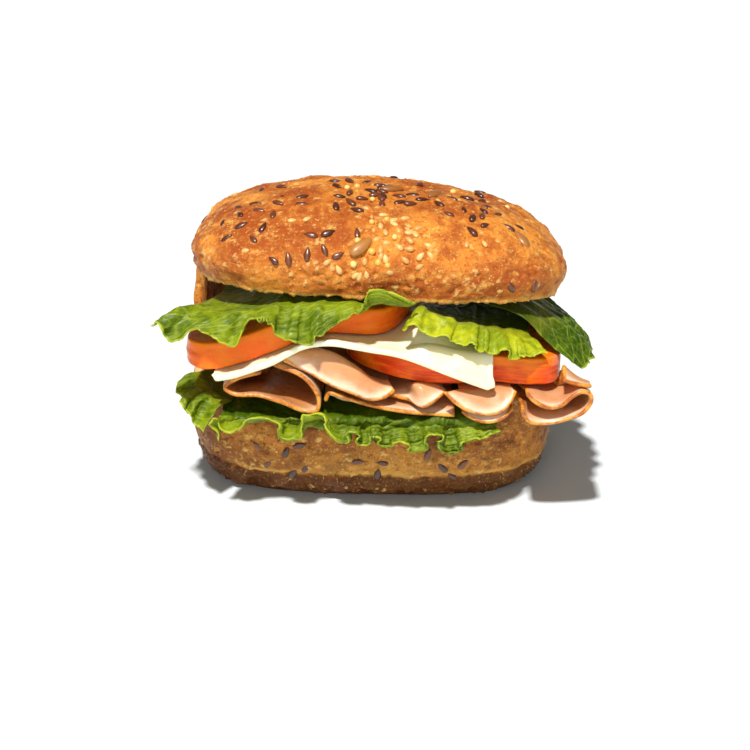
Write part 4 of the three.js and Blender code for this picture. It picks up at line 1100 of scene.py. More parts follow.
def cheese_middle(thick):
    """Grid of the cheese's middle points: its drooping front edge first, then off to the back."""
    u = crowded(CHEESE_COLUMNS, COLUMNS_CROWD)[None, :]
    front_rows = np.linspace(0, CHEESE_FRONT_SHARE, CHEESE_FRONT_ROWS)[:-1]
    later = crowded(CHEESE_ROWS, ROWS_CROWD) ** FRONT_CROWD
    back_rows = CHEESE_FRONT_SHARE + (1 - CHEESE_FRONT_SHARE) * later
    v = np.concatenate([front_rows, back_rows])[:, None]
    front = Curve(CHEESE_EDGE).at(u[0])[None]
    x = front[..., 0] + v * mix(CHEESE_SHIFT_LEFT, CHEESE_SHIFT_RIGHT, u)
    y = mix(front[..., 1], CHEESE_BACK - CHEESE_BACK_SLANT * (1 - u), v)
    drop = front[..., 2] - cheese_base(front[..., 0], FRONT)
    run = np.maximum(1, FRONT - CHEESE_FOLD - front[..., 1])
    droop = 1 - smooth((y - front[..., 1]) / run)
    middle = stack(x, y, cheese_base(x, np.maximum(y, FRONT)) + thick / 2 + drop * droop)
    _, down, along = edge_distance(middle)
    ends = np.minimum(along, along[:, -1:] - along)
    corner = 1 - np.sqrt(1 - np.clip(1 - ends / CORNER_RADIUS, 0, 1) ** 2)
    step = np.gradient(middle, axis=0) / np.maximum(np.gradient(down, axis=0), 1e-6)[..., None]
    middle = middle + step * (CORNER_RADIUS * corner * (1 - smooth(down / CORNER_FADE)))[..., None]
    sway = wavy(middle, [CHEESE_SWAY], 120) * (v < CHEESE_SWAY_END)
    return middle, stack(0, sway, wavy(middle, [CHEESE_DIMPLES], 121))


def make_cheese():
    thick = bpy.context.scene.sandwich_sizes.cheese_thickness / MM
    middle, sway = cheese_middle(thick)
    distance = edge_distance(middle)[0]
    piece = sheet_mesh("cheese_slice", middle + sway, thick * edge_taper(distance, CHEESE_ROUNDING),
                       {"rim": distance})
    material, nodes, shader = new_material("swiss cheese", colour("cheese"))
    place = nodes.place()
    base = mottled(nodes, place, 45.0, "cheese", "cheese_warm")
    # Painted highlight: the band within a few millimetres of the edge is made lighter.
    rim = nodes.spread(nodes.attribute("rim"), 0.0, 2.4, 0.5, 0.0)
    tone = nodes.blend(rim, base, colour("cheese_edge"))
    fine = grained(nodes, place, 160.0, 0.3, 0.46)
    finish_shader(nodes, shader, tone, fine["Roughness"], fine["Height"], 0.12, 0.0005,
                  Coat_Weight=0.12, Coat_Roughness=0.3)
    soften(shader, 0.3, (1.0, 0.75, 0.35), 0.002)
    settle(piece, material, "cheese", "swiss_cheese")


# ---- Turkey ----------------------------------------------------------------------------------
LANE_FIRST, LANE_PITCH = 2.6, 1.65
# Along each slice's front edge: a point, the way from it to its crest, and its lane in the stack.
SLICES = {
    "turkey_fold_left": [
        (-33, -47, 52.6, 0, 6, 0, 3), (-25.5, -48.5, 50.6, 0, 6, 0, 3),
        (-21, -50, 47.4, 0, 6, 0, 2.6), (-18.4, -51, 42.4, 0, 6, 0, 1.8),
        (-19.2, -51, 38.4, 0, 6, 0, 1.2), (-23.4, -50, 38, 0, 6, 0, 1),
        (-30, -50, 40.8, 0, 6, -1, 1), (-38, -49, 42.6, 0, 6, -1, 1),
        (-45.5, -48, 42.6, 0, 6, -1, 1), (-48.6, -47, 44.2, 0, 6, 0, 1.5),
        (-45, -46, 47, 0, 6, 0, 2), (-37, -45, 49.2, 0, 6, 0, 2),
    ],
    "turkey_edge_middle": [
        (-16.4, -48, 40.8, 0, 6, 0, 1), (-15, -49, 44.4, 0, 6, -2, 1),
        (-10.6, -49, 43.4, 0, 6, -3, 1),
        (-3, -49, 40.4, 0, 6, -1, 1), (7.6, -49, 38.2, 0, 6, 0, 1), (15, -49, 37.4, 0, 6, 0.7, 1),
        (21, -48.5, 36.8, 0, 6, 1.4, 1), (25.4, -48, 36.4, 0, 6, 1.8, 1),
    ],
    "turkey_drape_left": [
        (-30, -46.5, 54, 2, 4, 1.6, 4), (-22, -48, 50.6, 1, 4, 5.8, 4),
        (-14, -49.5, 46.8, 0, 5, 8.6, 4), (-8, -50, 44.6, 0, 5, 7.2, 4),
        (-2, -50, 42.2, 0, 5, 4.6, 4), (2.6, -49, 42.8, -1, 5, 2.2, 4),
        (6, -46, 44.2, -2, 6, 0.2, 4),
    ],
    "turkey_drape_middle": [
        (-3, -40, 40.6, 0, 5, 0, 3), (4, -42, 40.6, 0, 6, 0.2, 3), (10, -45, 40.6, 0, 7, 1.6, 3),
        (15.2, -50, 40.2, -2.4, 4, 6, 3), (18.4, -50.2, 42, -2.4, 5, 4, 3),
        (21, -48.6, 43.8, -2, 5, 1.6, 3), (22.8, -46, 44.4, -1.4, 5, -1, 3),
    ],
    "turkey_bowl_right": [
        (21.4, -50.8, 46.4, 5, 4.6, -1.2, 4), (24.4, -51.2, 43.2, 3.4, 4.6, 1.8, 4),
        (29, -51.6, 40.2, 1, 5, 4.8, 4), (35, -52, 38.8, 0, 6, 6.4, 4),
        (40, -51.6, 39.8, 0, 6, 5.4, 4), (43.4, -50, 42.8, -1, 6, 2.2, 4),
        (45, -46.5, 45.2, -2, 5, -0.4, 4),
    ],
    "turkey_edge_right": [
        (27.6, -49.4, 39, 0, 6, 0.8, 2), (31, -51, 36.8, 0, 6, 2.6, 2),
        (37, -51.4, 35.8, 0, 6, 3.6, 2), (41.4, -50.6, 37.6, 0, 6, 2, 2),
        (44, -48, 40.2, 0, 6, -0.4, 2),
    ],
    "turkey_fold_right": [
        (48, -51.6, 47.2, 0, 6, -2.6, 3), (50.7, -52.4, 44.3, 0, 6, 0, 3),
        (55, -52.6, 42.3, 0, 6, 0.6, 3), (59, -52.4, 43, 0, 6, 0, 3),
        (62.6, -52, 46.2, 0, 6, -1.4, 2.8), (65.8, -51.4, 47.6, 0, 6, -1.2, 2.4),
        (68.4, -51, 46.6, 0, 6, -1.8, 2), (68.8, -51, 43.8, 0, 6, 0, 1.5),
        (66.6, -51.2, 40.2, 0, 6, 0, 1.2), (61.6, -51.6, 37.6, 0, 6, 1.6, 1),
        (54.6, -52, 36, 0, 6, 2.6, 1), (48.8, -52.4, 37, 0, 6, 1.8, 1),
        (46.6, -52.6, 41.4, 0, 6, -0.6, 1.6),
    ],
    "turkey_flap_right": [
        (59.6, -48.6, 50.2, 0, 6, 2.6, 4), (61.4, -49, 49.6, 0, 6, 1.4, 4),
        (64, -49.2, 49.2, 0, 6.4, -0.2, 4), (66.4, -49, 49, 0, 6, -1.2, 4),
        (69, -47.4, 48, -0.2, 6, -1.8, 3.8),
    ],
}
SLICE_BACK, SLICE_ROUND, SLICE_CREST = 39, 7, 0.16
SLICE_REACH, SLICE_NARROWING, SLICE_SQUEEZE = 38, 0.94, 0.55
SLICE_FRONT_ROWS, SLICE_BACK_ROWS, SLICE_COLUMN_WIDTH, SLICE_FEWEST_COLUMNS = 26, 84, 0.55, 60
SLICE_ROWS_CROWD = 1.25
# Height and size of a slice's sway, how much of it is left at an edge, and how far in that goes.
SLICE_SWAY, SWAY_AT_EDGE, SWAY_EDGE = [(0.3, 9), (0.05, 3)], 0.4, 3
# The wander of its front edge: height and size, and how far in it goes.
EDGE_WANDER, EDGE_WANDER_IN = (0.35, 5), 2.5
# Where a slice ends at the back, and how soon its two ends settle into the stack.
SLICE_SETTLE = 2.4
SLICE_RUN = {
    "turkey_fold_left": (29, 3.2, 3.2),
    "turkey_drape_left": (36, 2, 7),
    "turkey_drape_middle": (SLICE_BACK, 5, 8),
    "turkey_fold_right": (30, 5, 5),
    "turkey_flap_right": (14, 10, 9),
}


def slice_surface(name, columns, places):
    """Grid of middle points of one slice: over its edge, up to its crest, and off to the back."""
    rows = SLICES[name]
    back, settle_start, settle_end = SLICE_RUN.get(
        name, (SLICE_BACK, SLICE_SETTLE, SLICE_SETTLE))
    u = np.linspace(0, 1, columns)
    v = places[:, None]
    p = Curve(rows).at(u)[None]
    q = Curve([(r[0] + r[3], r[1] + r[4], r[2] + r[5]) for r in rows]).at(u)[None]
    lane = Curve([(r[6], 2 * k, 0) for k, r in enumerate(rows)]).at(u)[None, :, 0]
    t = np.clip(v / SLICE_CREST, 0, 1)
    over = stack(mix(p[..., 0], q[..., 0], t), mix(p[..., 1], q[..., 1], t),
                 mix(p[..., 2], q[..., 2], np.sin(t * math.pi / 2)))
    t = np.clip((v - SLICE_CREST) / (1 - SLICE_CREST), 0, 1)
    beyond = np.maximum(0, np.abs(q[..., 0]) - SLICE_REACH) * np.sign(q[..., 0])
    inside = SLICE_NARROWING * (q[..., 0] - beyond) + SLICE_SQUEEZE * beyond
    x = mix(q[..., 0], inside, smooth(2 * t))
    y = mix(q[..., 1], back - SLICE_ROUND * (2 * u - 1) ** 2, t)
    settled = heel_cut(x, y) + LANE_FIRST + LANE_PITCH * (lane - 1)
    z = mix(q[..., 2], settled, smooth(t * mix(settle_start, settle_end, u)))
    return np.where(v[..., None] <= SLICE_CREST, over, stack(x, y, z))


# Where along its edge a folded slice starts to show its inside, and how much painted shade that
# inside gets.
INNER_FACES = {"turkey_fold_left": (0.36, 0.8), "turkey_fold_right": (0.52, 0.4)}
NO_INNER_FACE, INNER_FADE, INNER_RIM = (2, 0), 0.1, 2


def turkey_material():
    """Moist roast meat: light near its rim, tanner further in, and a browned rim."""
    material, nodes, shader = new_material("roast turkey", colour("turkey"))
    place = nodes.place()
    depth_in = nodes.attribute("depth")
    tone = mottled(nodes, place, 70.0, "turkey_pink", "turkey")
    fibre = nodes.noise(nodes.stretched(place, (0.6, 1, 1.6)), 210, 3, 0.5)
    tone = nodes.blend(nodes.spread(fibre, 0.45, 0.75, 0, 0.6), tone, colour("turkey_light"))
    # Painted light within a few millimetres of the slice's edges.
    tone = nodes.blend(nodes.spread(depth_in, 1.0, 3.6, 0.7, 0.0), tone, colour("turkey_light"))
    # Painted shade a little further in from the edges, where the layer above shades the slice.
    tone = nodes.blend(nodes.spread(depth_in, 2.0, 6.0, 0.0, 0.8), tone, colour("turkey_tan"))
    # Painted shade deep inside the slice, away from both edges.
    tone = nodes.blend(nodes.spread(depth_in, 8.0, 18.0, 0.0, 0.7), tone, colour("turkey_deep"))
    # Painted shade inside the folded slices.
    tone = nodes.blend(nodes.attribute("painted_shade_in_fold"), tone, colour("turkey_deep"))
    wander = nodes.times(nodes.noise(place, 260, 3), 1.2)
    depth = nodes.maths("ADD", nodes.attribute("rim"), nodes.maths("SUBTRACT", wander, 0.6))
    browned = nodes.spread(depth, 0.3, 1.25, 1.0, 0.0)
    tone = nodes.blend(browned, tone, mottled(nodes, place, 220.0, "rim_brown", "rim_gold"))
    fine = grained(nodes, place, 380.0, 0.24, 0.44)
    finish_shader(nodes, shader, tone, fine["Roughness"], fine["Height"], 0.12, 0.0005,
                  Specular_IOR_Level=0.4)
    soften(shader, 0.3, (1.0, 0.42, 0.2), 0.0018)
    return material


def slice_mesh(name, places, thick, seed):
    """One slice of turkey, a little uneven in its face and along its edge."""
    columns = int(Curve(SLICES[name]).lengths[-1] / SLICE_COLUMN_WIDTH)
    middle = slice_surface(name, max(SLICE_FEWEST_COLUMNS, columns), places)
    distance, down, _ = edge_distance(middle)
    sway = wavy(middle, SLICE_SWAY, seed, 10)
    sway = sway * mix(SWAY_AT_EDGE, 1, smooth(distance / SWAY_EDGE))
    middle = middle + grid_normals(middle) * sway[..., None]
    edge_in = wavy(middle, [EDGE_WANDER], seed + 20) * np.exp(-down / EDGE_WANDER_IN)
    middle = middle + stack(0, edge_in, 0)
    start, share = INNER_FACES.get(name, NO_INNER_FACE)
    along = np.linspace(0, 1, middle.shape[1])
    values = {"rim": distance, "depth": np.minimum(down, down[-1] - down),
              "painted_shade_in_fold": share * smooth((along - start) / INNER_FADE) * smooth(down / INNER_RIM)}
    thickness = thick * edge_taper(distance, SLICE_ROUNDING)
    return sheet_mesh(name + "_slice", middle, thickness, values)


def make_turkey():
    thick = bpy.context.scene.sandwich_sizes.turkey_thickness / MM
    material = turkey_material()
    front = np.linspace(0, SLICE_CREST, SLICE_FRONT_ROWS)
    later = np.linspace(0, 1, SLICE_BACK_ROWS)[1:] ** SLICE_ROWS_CROWD
    back = SLICE_CREST + (1 - SLICE_CREST) * later
    for index, name in enumerate(SLICES):
        piece = slice_mesh(name, np.concatenate([front, back]), thick, 130 + index)
        settle(piece, material, "turkey", name)


# ---- Lettuce ---------------------------------------------------------------------------------
RUFFLE, SLOW_RUFFLE, SLOW_RUFFLE_PACE = 0.85, 0.45, 0.53
# Spacing of the veins and of the finer net between them, and how far both pucker the leaf.
VEIN_SPACING, NET_SPACING, VEIN_PUCKER, NET_PUCKER = 6.2, 2.3, 0.2, 0.14
VEIN_WIDTH, NET_WIDTH, VEIN_PUCKER_WIDTH, NET_PUCKER_WIDTH, NET_SHARE = 0.16, 0.2, 0.5, 0.4, 0.55
# Height and size of the crumple in the outer part, where it starts, and its share further in.
CRUMPLE, CRUMPLE_START, CRUMPLE_FADE, PUCKER_INSIDE = [(0.7, 6.5), (0.3, 2.8)], 0.45, 0.55, 0.3
# Folds that run out to the rim: their width, how long they are drawn, and where they start.
FLUTE_WIDTH, FLUTE_DRAWN, FLUTE_START, FLUTE_FADE = 4.2, 0.25, 0.5, 0.2
# Lobes of the rim: height and size, and where they start.
LOBES, LOBE_START, LOBE_FADE = [(1.1, 5), (0.6, 1.9)], 0.9, 0.1
# Thickness of the blade, and what a vein adds to it, as shares of the solid's.
BLADE_SHARE, VEIN_SHARE = 0.55, 0.3
# Each leaf: rows of points from its hidden end to its rim, their places, and its ruffle in them.
LEAVES = {
    "lettuce_lower_front": {
        "rows": [
            [(-33, 47, 39.8), (0, 48, 40.4), (38, 47, 41.4)],
            [(-35, 41, 40.4), (0, 42, 41.4), (40, 41, 42.6)],
            [(-50, 0, 37.1), (0, 0, 38.6), (44, 0, 39.9)],
            [(-50, -42, 34.2), (-25, -43.6, 35), (0, -43.6, 35.4), (22, -43.6, 36),
             (40, -43.2, 36.6)],
            [(-51.4, -47.4, 33), (-36, -48, 33.6), (-18, -48, 32.1), (0, -48, 32.4),
             (20, -48, 32), (39, -47.4, 33)],
            [(-53.6, -52, 31.6), (-47, -53.4, 34), (-40, -53.6, 35.4), (-32, -53.4, 34.4),
             (-24, -53.4, 33), (-16, -53.8, 33.2), (-8, -54, 31.6), (1.5, -54.2, 29.4),
             (11, -54, 28.6), (21, -53.6, 28.6), (29, -53.2, 29.6), (36, -52.4, 31.8),
             (40, -51, 32.8)],
        ],
        "places": [0, 0.1, 0.42, 0.76, 0.88, 1],
        "amplitudes": [2.4, 0.25, 0.1, 0.15, 1.4, 4.6],
        "waves": 8.3, "fold": 0.34, "size": (480, 200), "crumple": 1.5, "flutes": 1.3,
    },
    "lettuce_lower_left": {
        "rows": [
            [(-53, -16, 37.4), (-52, -21, 37), (-50, -27, 36.6), (-47, -34, 36)],
            [(-58, -18, 37.4), (-56.4, -24, 36.8), (-53, -32, 36.4), (-47, -38.4, 36)],
            [(-63, -20, 37.6), (-62, -27, 37), (-58.6, -36, 36.4), (-52, -44, 35.8)],
            [(-65.4, -24, 35.4), (-65, -31, 34.4), (-62, -41, 33), (-56, -48.6, 29)],
        ],
        "places": [0, 0.36, 0.72, 1],
        "amplitudes": [0.1, 0.2, 1.5, 3],
        "waves": 3.6, "fold": 0.35, "size": (150, 80),
    },
    "lettuce_upper_left": {
        "rows": [
            [(-50, 18, 61.2), (-30, 22, 62.6), (-8, 24, 63)],
            [(-52, -8, 62.4), (-28, -6, 66.4), (0, -4, 66.8)],
            [(-58, -29, 66.2), (-47, -36, 67.4), (-30, -38, 70.8), (-12, -38, 72.2),
             (2, -37, 71.8), (9, -36, 71.6)],
            [(-65, -39, 68.4), (-52, -45, 68.4), (-34, -46.4, 71.2), (-16, -46.6, 73),
             (-2, -47.2, 74.2), (10, -47, 74.8)],
            [(-72.4, -45, 66.8), (-66, -48.4, 61.8), (-59, -49.6, 65.6), (-48, -51.6, 62),
             (-44, -51, 67.4), (-36, -51, 68.6), (-30, -51.8, 64.8), (-21, -52.2, 62),
             (-16.6, -51.2, 68), (-9, -50.2, 71), (-5, -49.8, 77), (4, -49.4, 79),
             (12.6, -48.6, 76)],
        ],
        "places": [0, 0.32, 0.62, 0.82, 1],
        "amplitudes": [0.6, 0.3, 0.3, 1.1, 2.7],
        "waves": 7.4, "fold": 0.35, "size": (360, 190),
    },
    "lettuce_upper_frill": {
        "rows": [
            [(14, -10, 61.6), (32, -10, 61.2), (50, -12, 59.6)],
            [(13, -34, 69.2), (22, -36, 66.4), (36, -36, 62.8), (49, -33, 60)],
            [(11.4, -43.4, 71.8), (20, -44.6, 69.2), (34, -44.4, 65.2), (46, -42.6, 61.6),
             (52, -40, 60)],
            [(8.6, -50, 69.6), (15, -50.6, 66.4), (24, -51, 64.8), (36, -50.6, 61),
             (47, -49, 58.8), (54, -46.4, 60)],
        ],
        "places": [0, 0.45, 0.72, 1],
        "amplitudes": [0.2, 0.4, 0.9, 1.8],
        "waves": 6.6, "fold": 0.3, "size": (300, 120), "crumple": 2,
    },
    "lettuce_upper_right": {
        "rows": [
            [(16, 20, 61.6), (26, 6, 65.4), (30, -8, 67.4), (32, -22, 68.6), (34, -31, 69)],
            [(44, 22, 60.6), (46, 6, 62.4), (47, -8, 64), (48, -22, 65.6), (46, -35, 66.4)],
            [(52, 16, 56), (54.6, 4, 57.2), (57.4, -8, 58.2), (59, -22, 60), (53.6, -39, 60)],
            [(60.6, 9, 51.4), (64, -2, 52.6), (66, -12, 53.8), (66.4, -26, 55.6),
             (60, -42, 55.4)],
            [(66, 3, 46), (69, -6, 46.6), (70.4, -18, 47.4), (69.6, -30, 49.4),
             (65.4, -41.4, 50.4)],
        ],
        "places": [0, 0.34, 0.6, 0.8, 1],
        "amplitudes": [0.2, 0.4, 0.7, 1.1, 1.8],
        "waves": 4.5, "fold": 0.25, "size": (240, 170),
    },
}


def leaf_surface(leaf, u, v):
    """Grid of a leaf's middle points, with the ruffle that its solid has."""
    rows = [Curve(row) for row in leaf["rows"]]
    places = np.array(leaf["places"], float)

    def base(u, v):
        along = np.stack([row.even(u) for row in rows])
        k = np.clip(np.searchsorted(places, v, side="left") - 1, 0, len(places) - 2)
        t = ((v - places[k]) / (places[k + 1] - places[k]))[:, None, None]
        a, b, c, d = (along[np.clip(k + n, 0, len(rows) - 1)] for n in (-1, 0, 1, 2))
        slope_b, slope_c = (c - a) / 2, (d - b) / 2
        t2, t3 = t * t, t * t * t
        return ((2 * t3 - 3 * t2 + 1) * b + (t3 - 2 * t2 + t) * slope_b
                + (3 * t2 - 2 * t3) * c + (t3 - t2) * slope_c)

    p = base(u, v)
    normal = grid_normals(p)
    along = np.gradient(p, axis=1)
    along /= np.maximum(np.linalg.norm(along, axis=-1, keepdims=True), 1e-9)
    turn = 2 * math.pi * leaf["waves"] * (u + 0.05 * np.sin(9 * u + 1) + 0.018 * np.sin(23 * u))
    swell = np.interp(v, places, leaf["amplitudes"])[:, None] * (0.75 + 0.25 * np.sin(15 * u + 2))
    ruffle = RUFFLE * np.sin(turn) + SLOW_RUFFLE * np.sin(SLOW_RUFFLE_PACE * turn + 1.3)
    p = p + normal * (swell * ruffle)[..., None]
    return p - along * (swell * leaf["fold"] * np.sin(2 * turn))[..., None]


def leaf_mesh(name, leaf, thick, seed):
    """A leaf with veins, puckers between them, a crumpled outer part and a lobed rim."""
    columns, rows = leaf["size"]
    v = np.linspace(0, 1, rows)
    middle = leaf_surface(leaf, np.linspace(0, 1, columns), v)
    outer = smooth((v - CRUMPLE_START) / CRUMPLE_FADE)[:, None]
    frill = wavy(middle, CRUMPLE, seed) * leaf.get("crumple", 1)
    distance, down, along = edge_distance(middle)
    flat = stack(along, down, 0 * down)
    near, second, _ = cells(flat, VEIN_SPACING, seed + 2, flat=True)
    net_near, net_second, _ = cells(flat, NET_SPACING, seed + 3, flat=True)
    vein = smooth(1 - (second - near) / VEIN_WIDTH)
    net = smooth(1 - (net_second - net_near) / NET_WIDTH) * NET_SHARE
    pucker = (VEIN_PUCKER * smooth((second - near) / VEIN_PUCKER_WIDTH)
              + NET_PUCKER * smooth((net_second - net_near) / NET_PUCKER_WIDTH))
    flutes = noise(stack(along, FLUTE_DRAWN * down, 0 * down), FLUTE_WIDTH, seed + 6)
    flutes = flutes * smooth((v - FLUTE_START) / FLUTE_FADE)[:, None] * leaf.get("flutes", 0)
    lift = frill * outer + flutes + pucker * mix(PUCKER_INSIDE, 1, outer)
    middle = middle + grid_normals(middle) * lift[..., None]
    out = np.gradient(middle, axis=0)
    out /= np.maximum(np.linalg.norm(out, axis=-1, keepdims=True), 1e-9)
    lobes = wavy(flat, LOBES, seed + 4) * smooth((v - LOBE_START) / LOBE_FADE)[:, None]
    middle = middle + out * lobes[..., None]
    thickness = thick * (BLADE_SHARE + VEIN_SHARE * vein) * edge_taper(distance, LEAF_ROUNDING)
    values = {"vein": np.maximum(vein, net), "rim": edge_distance(middle, "b")[0],
              "out": np.broadcast_to(v[:, None], vein.shape)}
    return sheet_mesh(name, middle, thickness, values)


def leaf_material(name, deep, bright, edge, shaded=0.5):
    """A leaf with lighter veins and rim, darker towards its hidden part."""
    material, nodes, shader = new_material(name, colour(bright))
    place = nodes.place()
    out = nodes.attribute("out")
    tone = mottled(nodes, place, 85.0, deep, bright)
    tone = nodes.blend(nodes.times(nodes.attribute("vein"), 0.4), tone, colour("leaf_vein"))
    # Painted highlight: lighter within about a millimetre of the rim.
    tone = nodes.blend(nodes.spread(nodes.attribute("rim"), 0.1, 1.1, 0.75, 0.0), tone,
                       colour(edge))
    # Painted shade: more olive over the inner part of the leaf.
    tone = nodes.blend(nodes.spread(out, 0.3, 0.7, 0.7, 0.0), tone, colour("leaf_rib"))
    # Painted shade: dark towards the hidden part of the leaf, from where shaded says.
    inside = nodes.spread(out, shaded - 0.14, shaded, 0.8, 0.0)
    tone = nodes.blend(inside, tone, colour("leaf_dark"))
    fine = grained(nodes, place, 520.0, 0.28, 0.5)
    finish_shader(nodes, shader, tone, fine["Roughness"], fine["Height"], 0.4, 0.0006,
                  Specular_IOR_Level=0.16)
    soften(shader, 0.12, (0.6, 1.0, 0.1), 0.001)
    return material


def make_lettuce():
    thick = bpy.context.scene.sandwich_sizes.leaf_thickness / MM
    bright = leaf_material("bright lettuce", "leaf_deep", "leaf", "leaf_edge")
    yellow = leaf_material("yellow lettuce", "leaf", "leaf_yellow", "leaf_edge")
    dark = leaf_material("deep lettuce", "leaf_dark", "leaf_deep", "leaf_edge")
    # The lower leaf takes painted shade over most of its hidden part.
    lower = leaf_material("lower lettuce", "leaf_deep", "leaf", "leaf_edge", 0.9)
    looks = {"lettuce_upper_frill": yellow, "lettuce_upper_right": dark,
             "lettuce_lower_front": lower}
    for index, (name, leaf) in enumerate(LEAVES.items()):
        piece = leaf_mesh(name + "_leaf", leaf, thick, 200 + 10 * index)
        settle(piece, looks.get(name, bright), "lettuce", name)


# ---- Stage -----------------------------------------------------------------------------------
# The camera's fall and roll in degrees, its place in metres, and its lens in the picture's pixels.
CAMERA_FALL, CAMERA_ROLL = 24.7, 1.25
CAMERA_PLACE, CAMERA_SHIFT = (0, -0.69081, 0.34429), (-0.002, 0.00733)
FOCAL_PIXELS, PICTURE_PIXELS, SENSOR_WIDTH, FAR_END = 2212, 750, 36, 20
# Each sun: where it shines from, its strength, its spread in degrees and its tint.
SUNS = {
    "key": ((-0.14, -0.42, 1.05), 4.8, 4, (1, 0.97, 0.93)),
    "front fill": ((-0.1, -1.2, 0.4), 0.85, 50, (1, 0.98, 0.96)),
}
SUN_AIM = (0, 0, 0.05)
ROOM_TINT, ROOM_STRENGTH = (0.97, 0.97, 0.95, 1), 0.16
FLOOR_REACH, FLOOR_DROP = 3000, 0.02


def lay_floor():
    corners = [(x * FLOOR_REACH, y * FLOOR_REACH, -FLOOR_DROP)
               for x, y in ((-1, -1), (1, -1), (1, 1), (-1, 1))]
    floor = make_object("pale_floor", np.array(corners), [(0, 1, 2, 3)])
    material, nodes, shader = new_material("pale floor", colour("floor"))
    finish_shader(nodes, shader, mottled(nodes, nodes.place(), 2.0, "floor", "floor_light"), 0.6)
    floor.data.materials.append(material)


def add_sun(name, place, strength, spread, tint):
    data = bpy.data.lights.new(name, "SUN")
    data.energy, data.color, data.angle = strength, tint, math.radians(spread)
    item = bpy.data.objects.new(name, data)
    bpy.context.scene.collection.objects.link(item)
    item.location = place
    item.rotation_euler = (Vector(SUN_AIM) - Vector(place)).to_track_quat("-Z", "Y").to_euler()


def make_stage():
    scene = bpy.context.scene
    lay_floor()
    for name, settings in SUNS.items():
        add_sun(name, *settings)
    room = bpy.data.worlds.new("soft room")
    room.use_nodes = True
    background = room.node_tree.nodes["Background"]
    background.inputs["Color"].default_value = ROOM_TINT
    background.inputs["Strength"].default_value = ROOM_STRENGTH
    scene.world = room

    data = bpy.data.cameras.new("camera")
    camera = bpy.data.objects.new("camera", data)
    scene.collection.objects.link(camera)
    data.sensor_width = SENSOR_WIDTH
    data.lens = FOCAL_PIXELS / PICTURE_PIXELS * SENSOR_WIDTH
    data.shift_x, data.shift_y = CAMERA_SHIFT
    data.clip_end = FAR_END
    down = Matrix.Rotation(math.radians(90 - CAMERA_FALL), 4, "X")
    roll = Matrix.Rotation(math.radians(CAMERA_ROLL), 4, "Z")
    camera.matrix_world = Matrix.Translation(CAMERA_PLACE) @ down @ roll
    scene.camera = camera
    scene.view_settings.view_transform = "Standard"
    scene.view_settings.look = "None"


# ---- Add-on ----------------------------------------------------------------------------------
def length_property(name, description, default):
    return bpy.props.FloatProperty(name=name, description=description, default=default,
                                   min=0, unit="LENGTH", subtype="DISTANCE")


def colour_property(name, description, default):
    return bpy.props.FloatVectorProperty(name=name, description=description, default=default,
                                         size=3, min=0, max=1, subtype="COLOR")


class SandwichSizes(bpy.types.PropertyGroup):
    """Sizes that a user would change."""

    roll_half_length: length_property("Roll half length", "Middle of the crown to its end", 0.0614)
    roll_half_depth: length_property("Roll half depth", "Middle of the crown to its front", 0.043)
    crown_rise: length_property("Crown rise", "Height of the crown over its cut", 0.03)
    crust_relief: length_property("Crust relief", "Height of the crust's grain", 0.001)
    tomato_thickness: length_property("Tomato thickness", "Thickness of a slice in front", 0.0094)
    cheese_thickness: length_property("Cheese thickness", "Thickness of the cheese slice", 0.002)
    turkey_thickness: length_property("Turkey thickness", "Thickness of a turkey slice", 0.0013)
    leaf_thickness: length_property("Leaf thickness", "Thickness of a lettuce leaf", 0.0008)


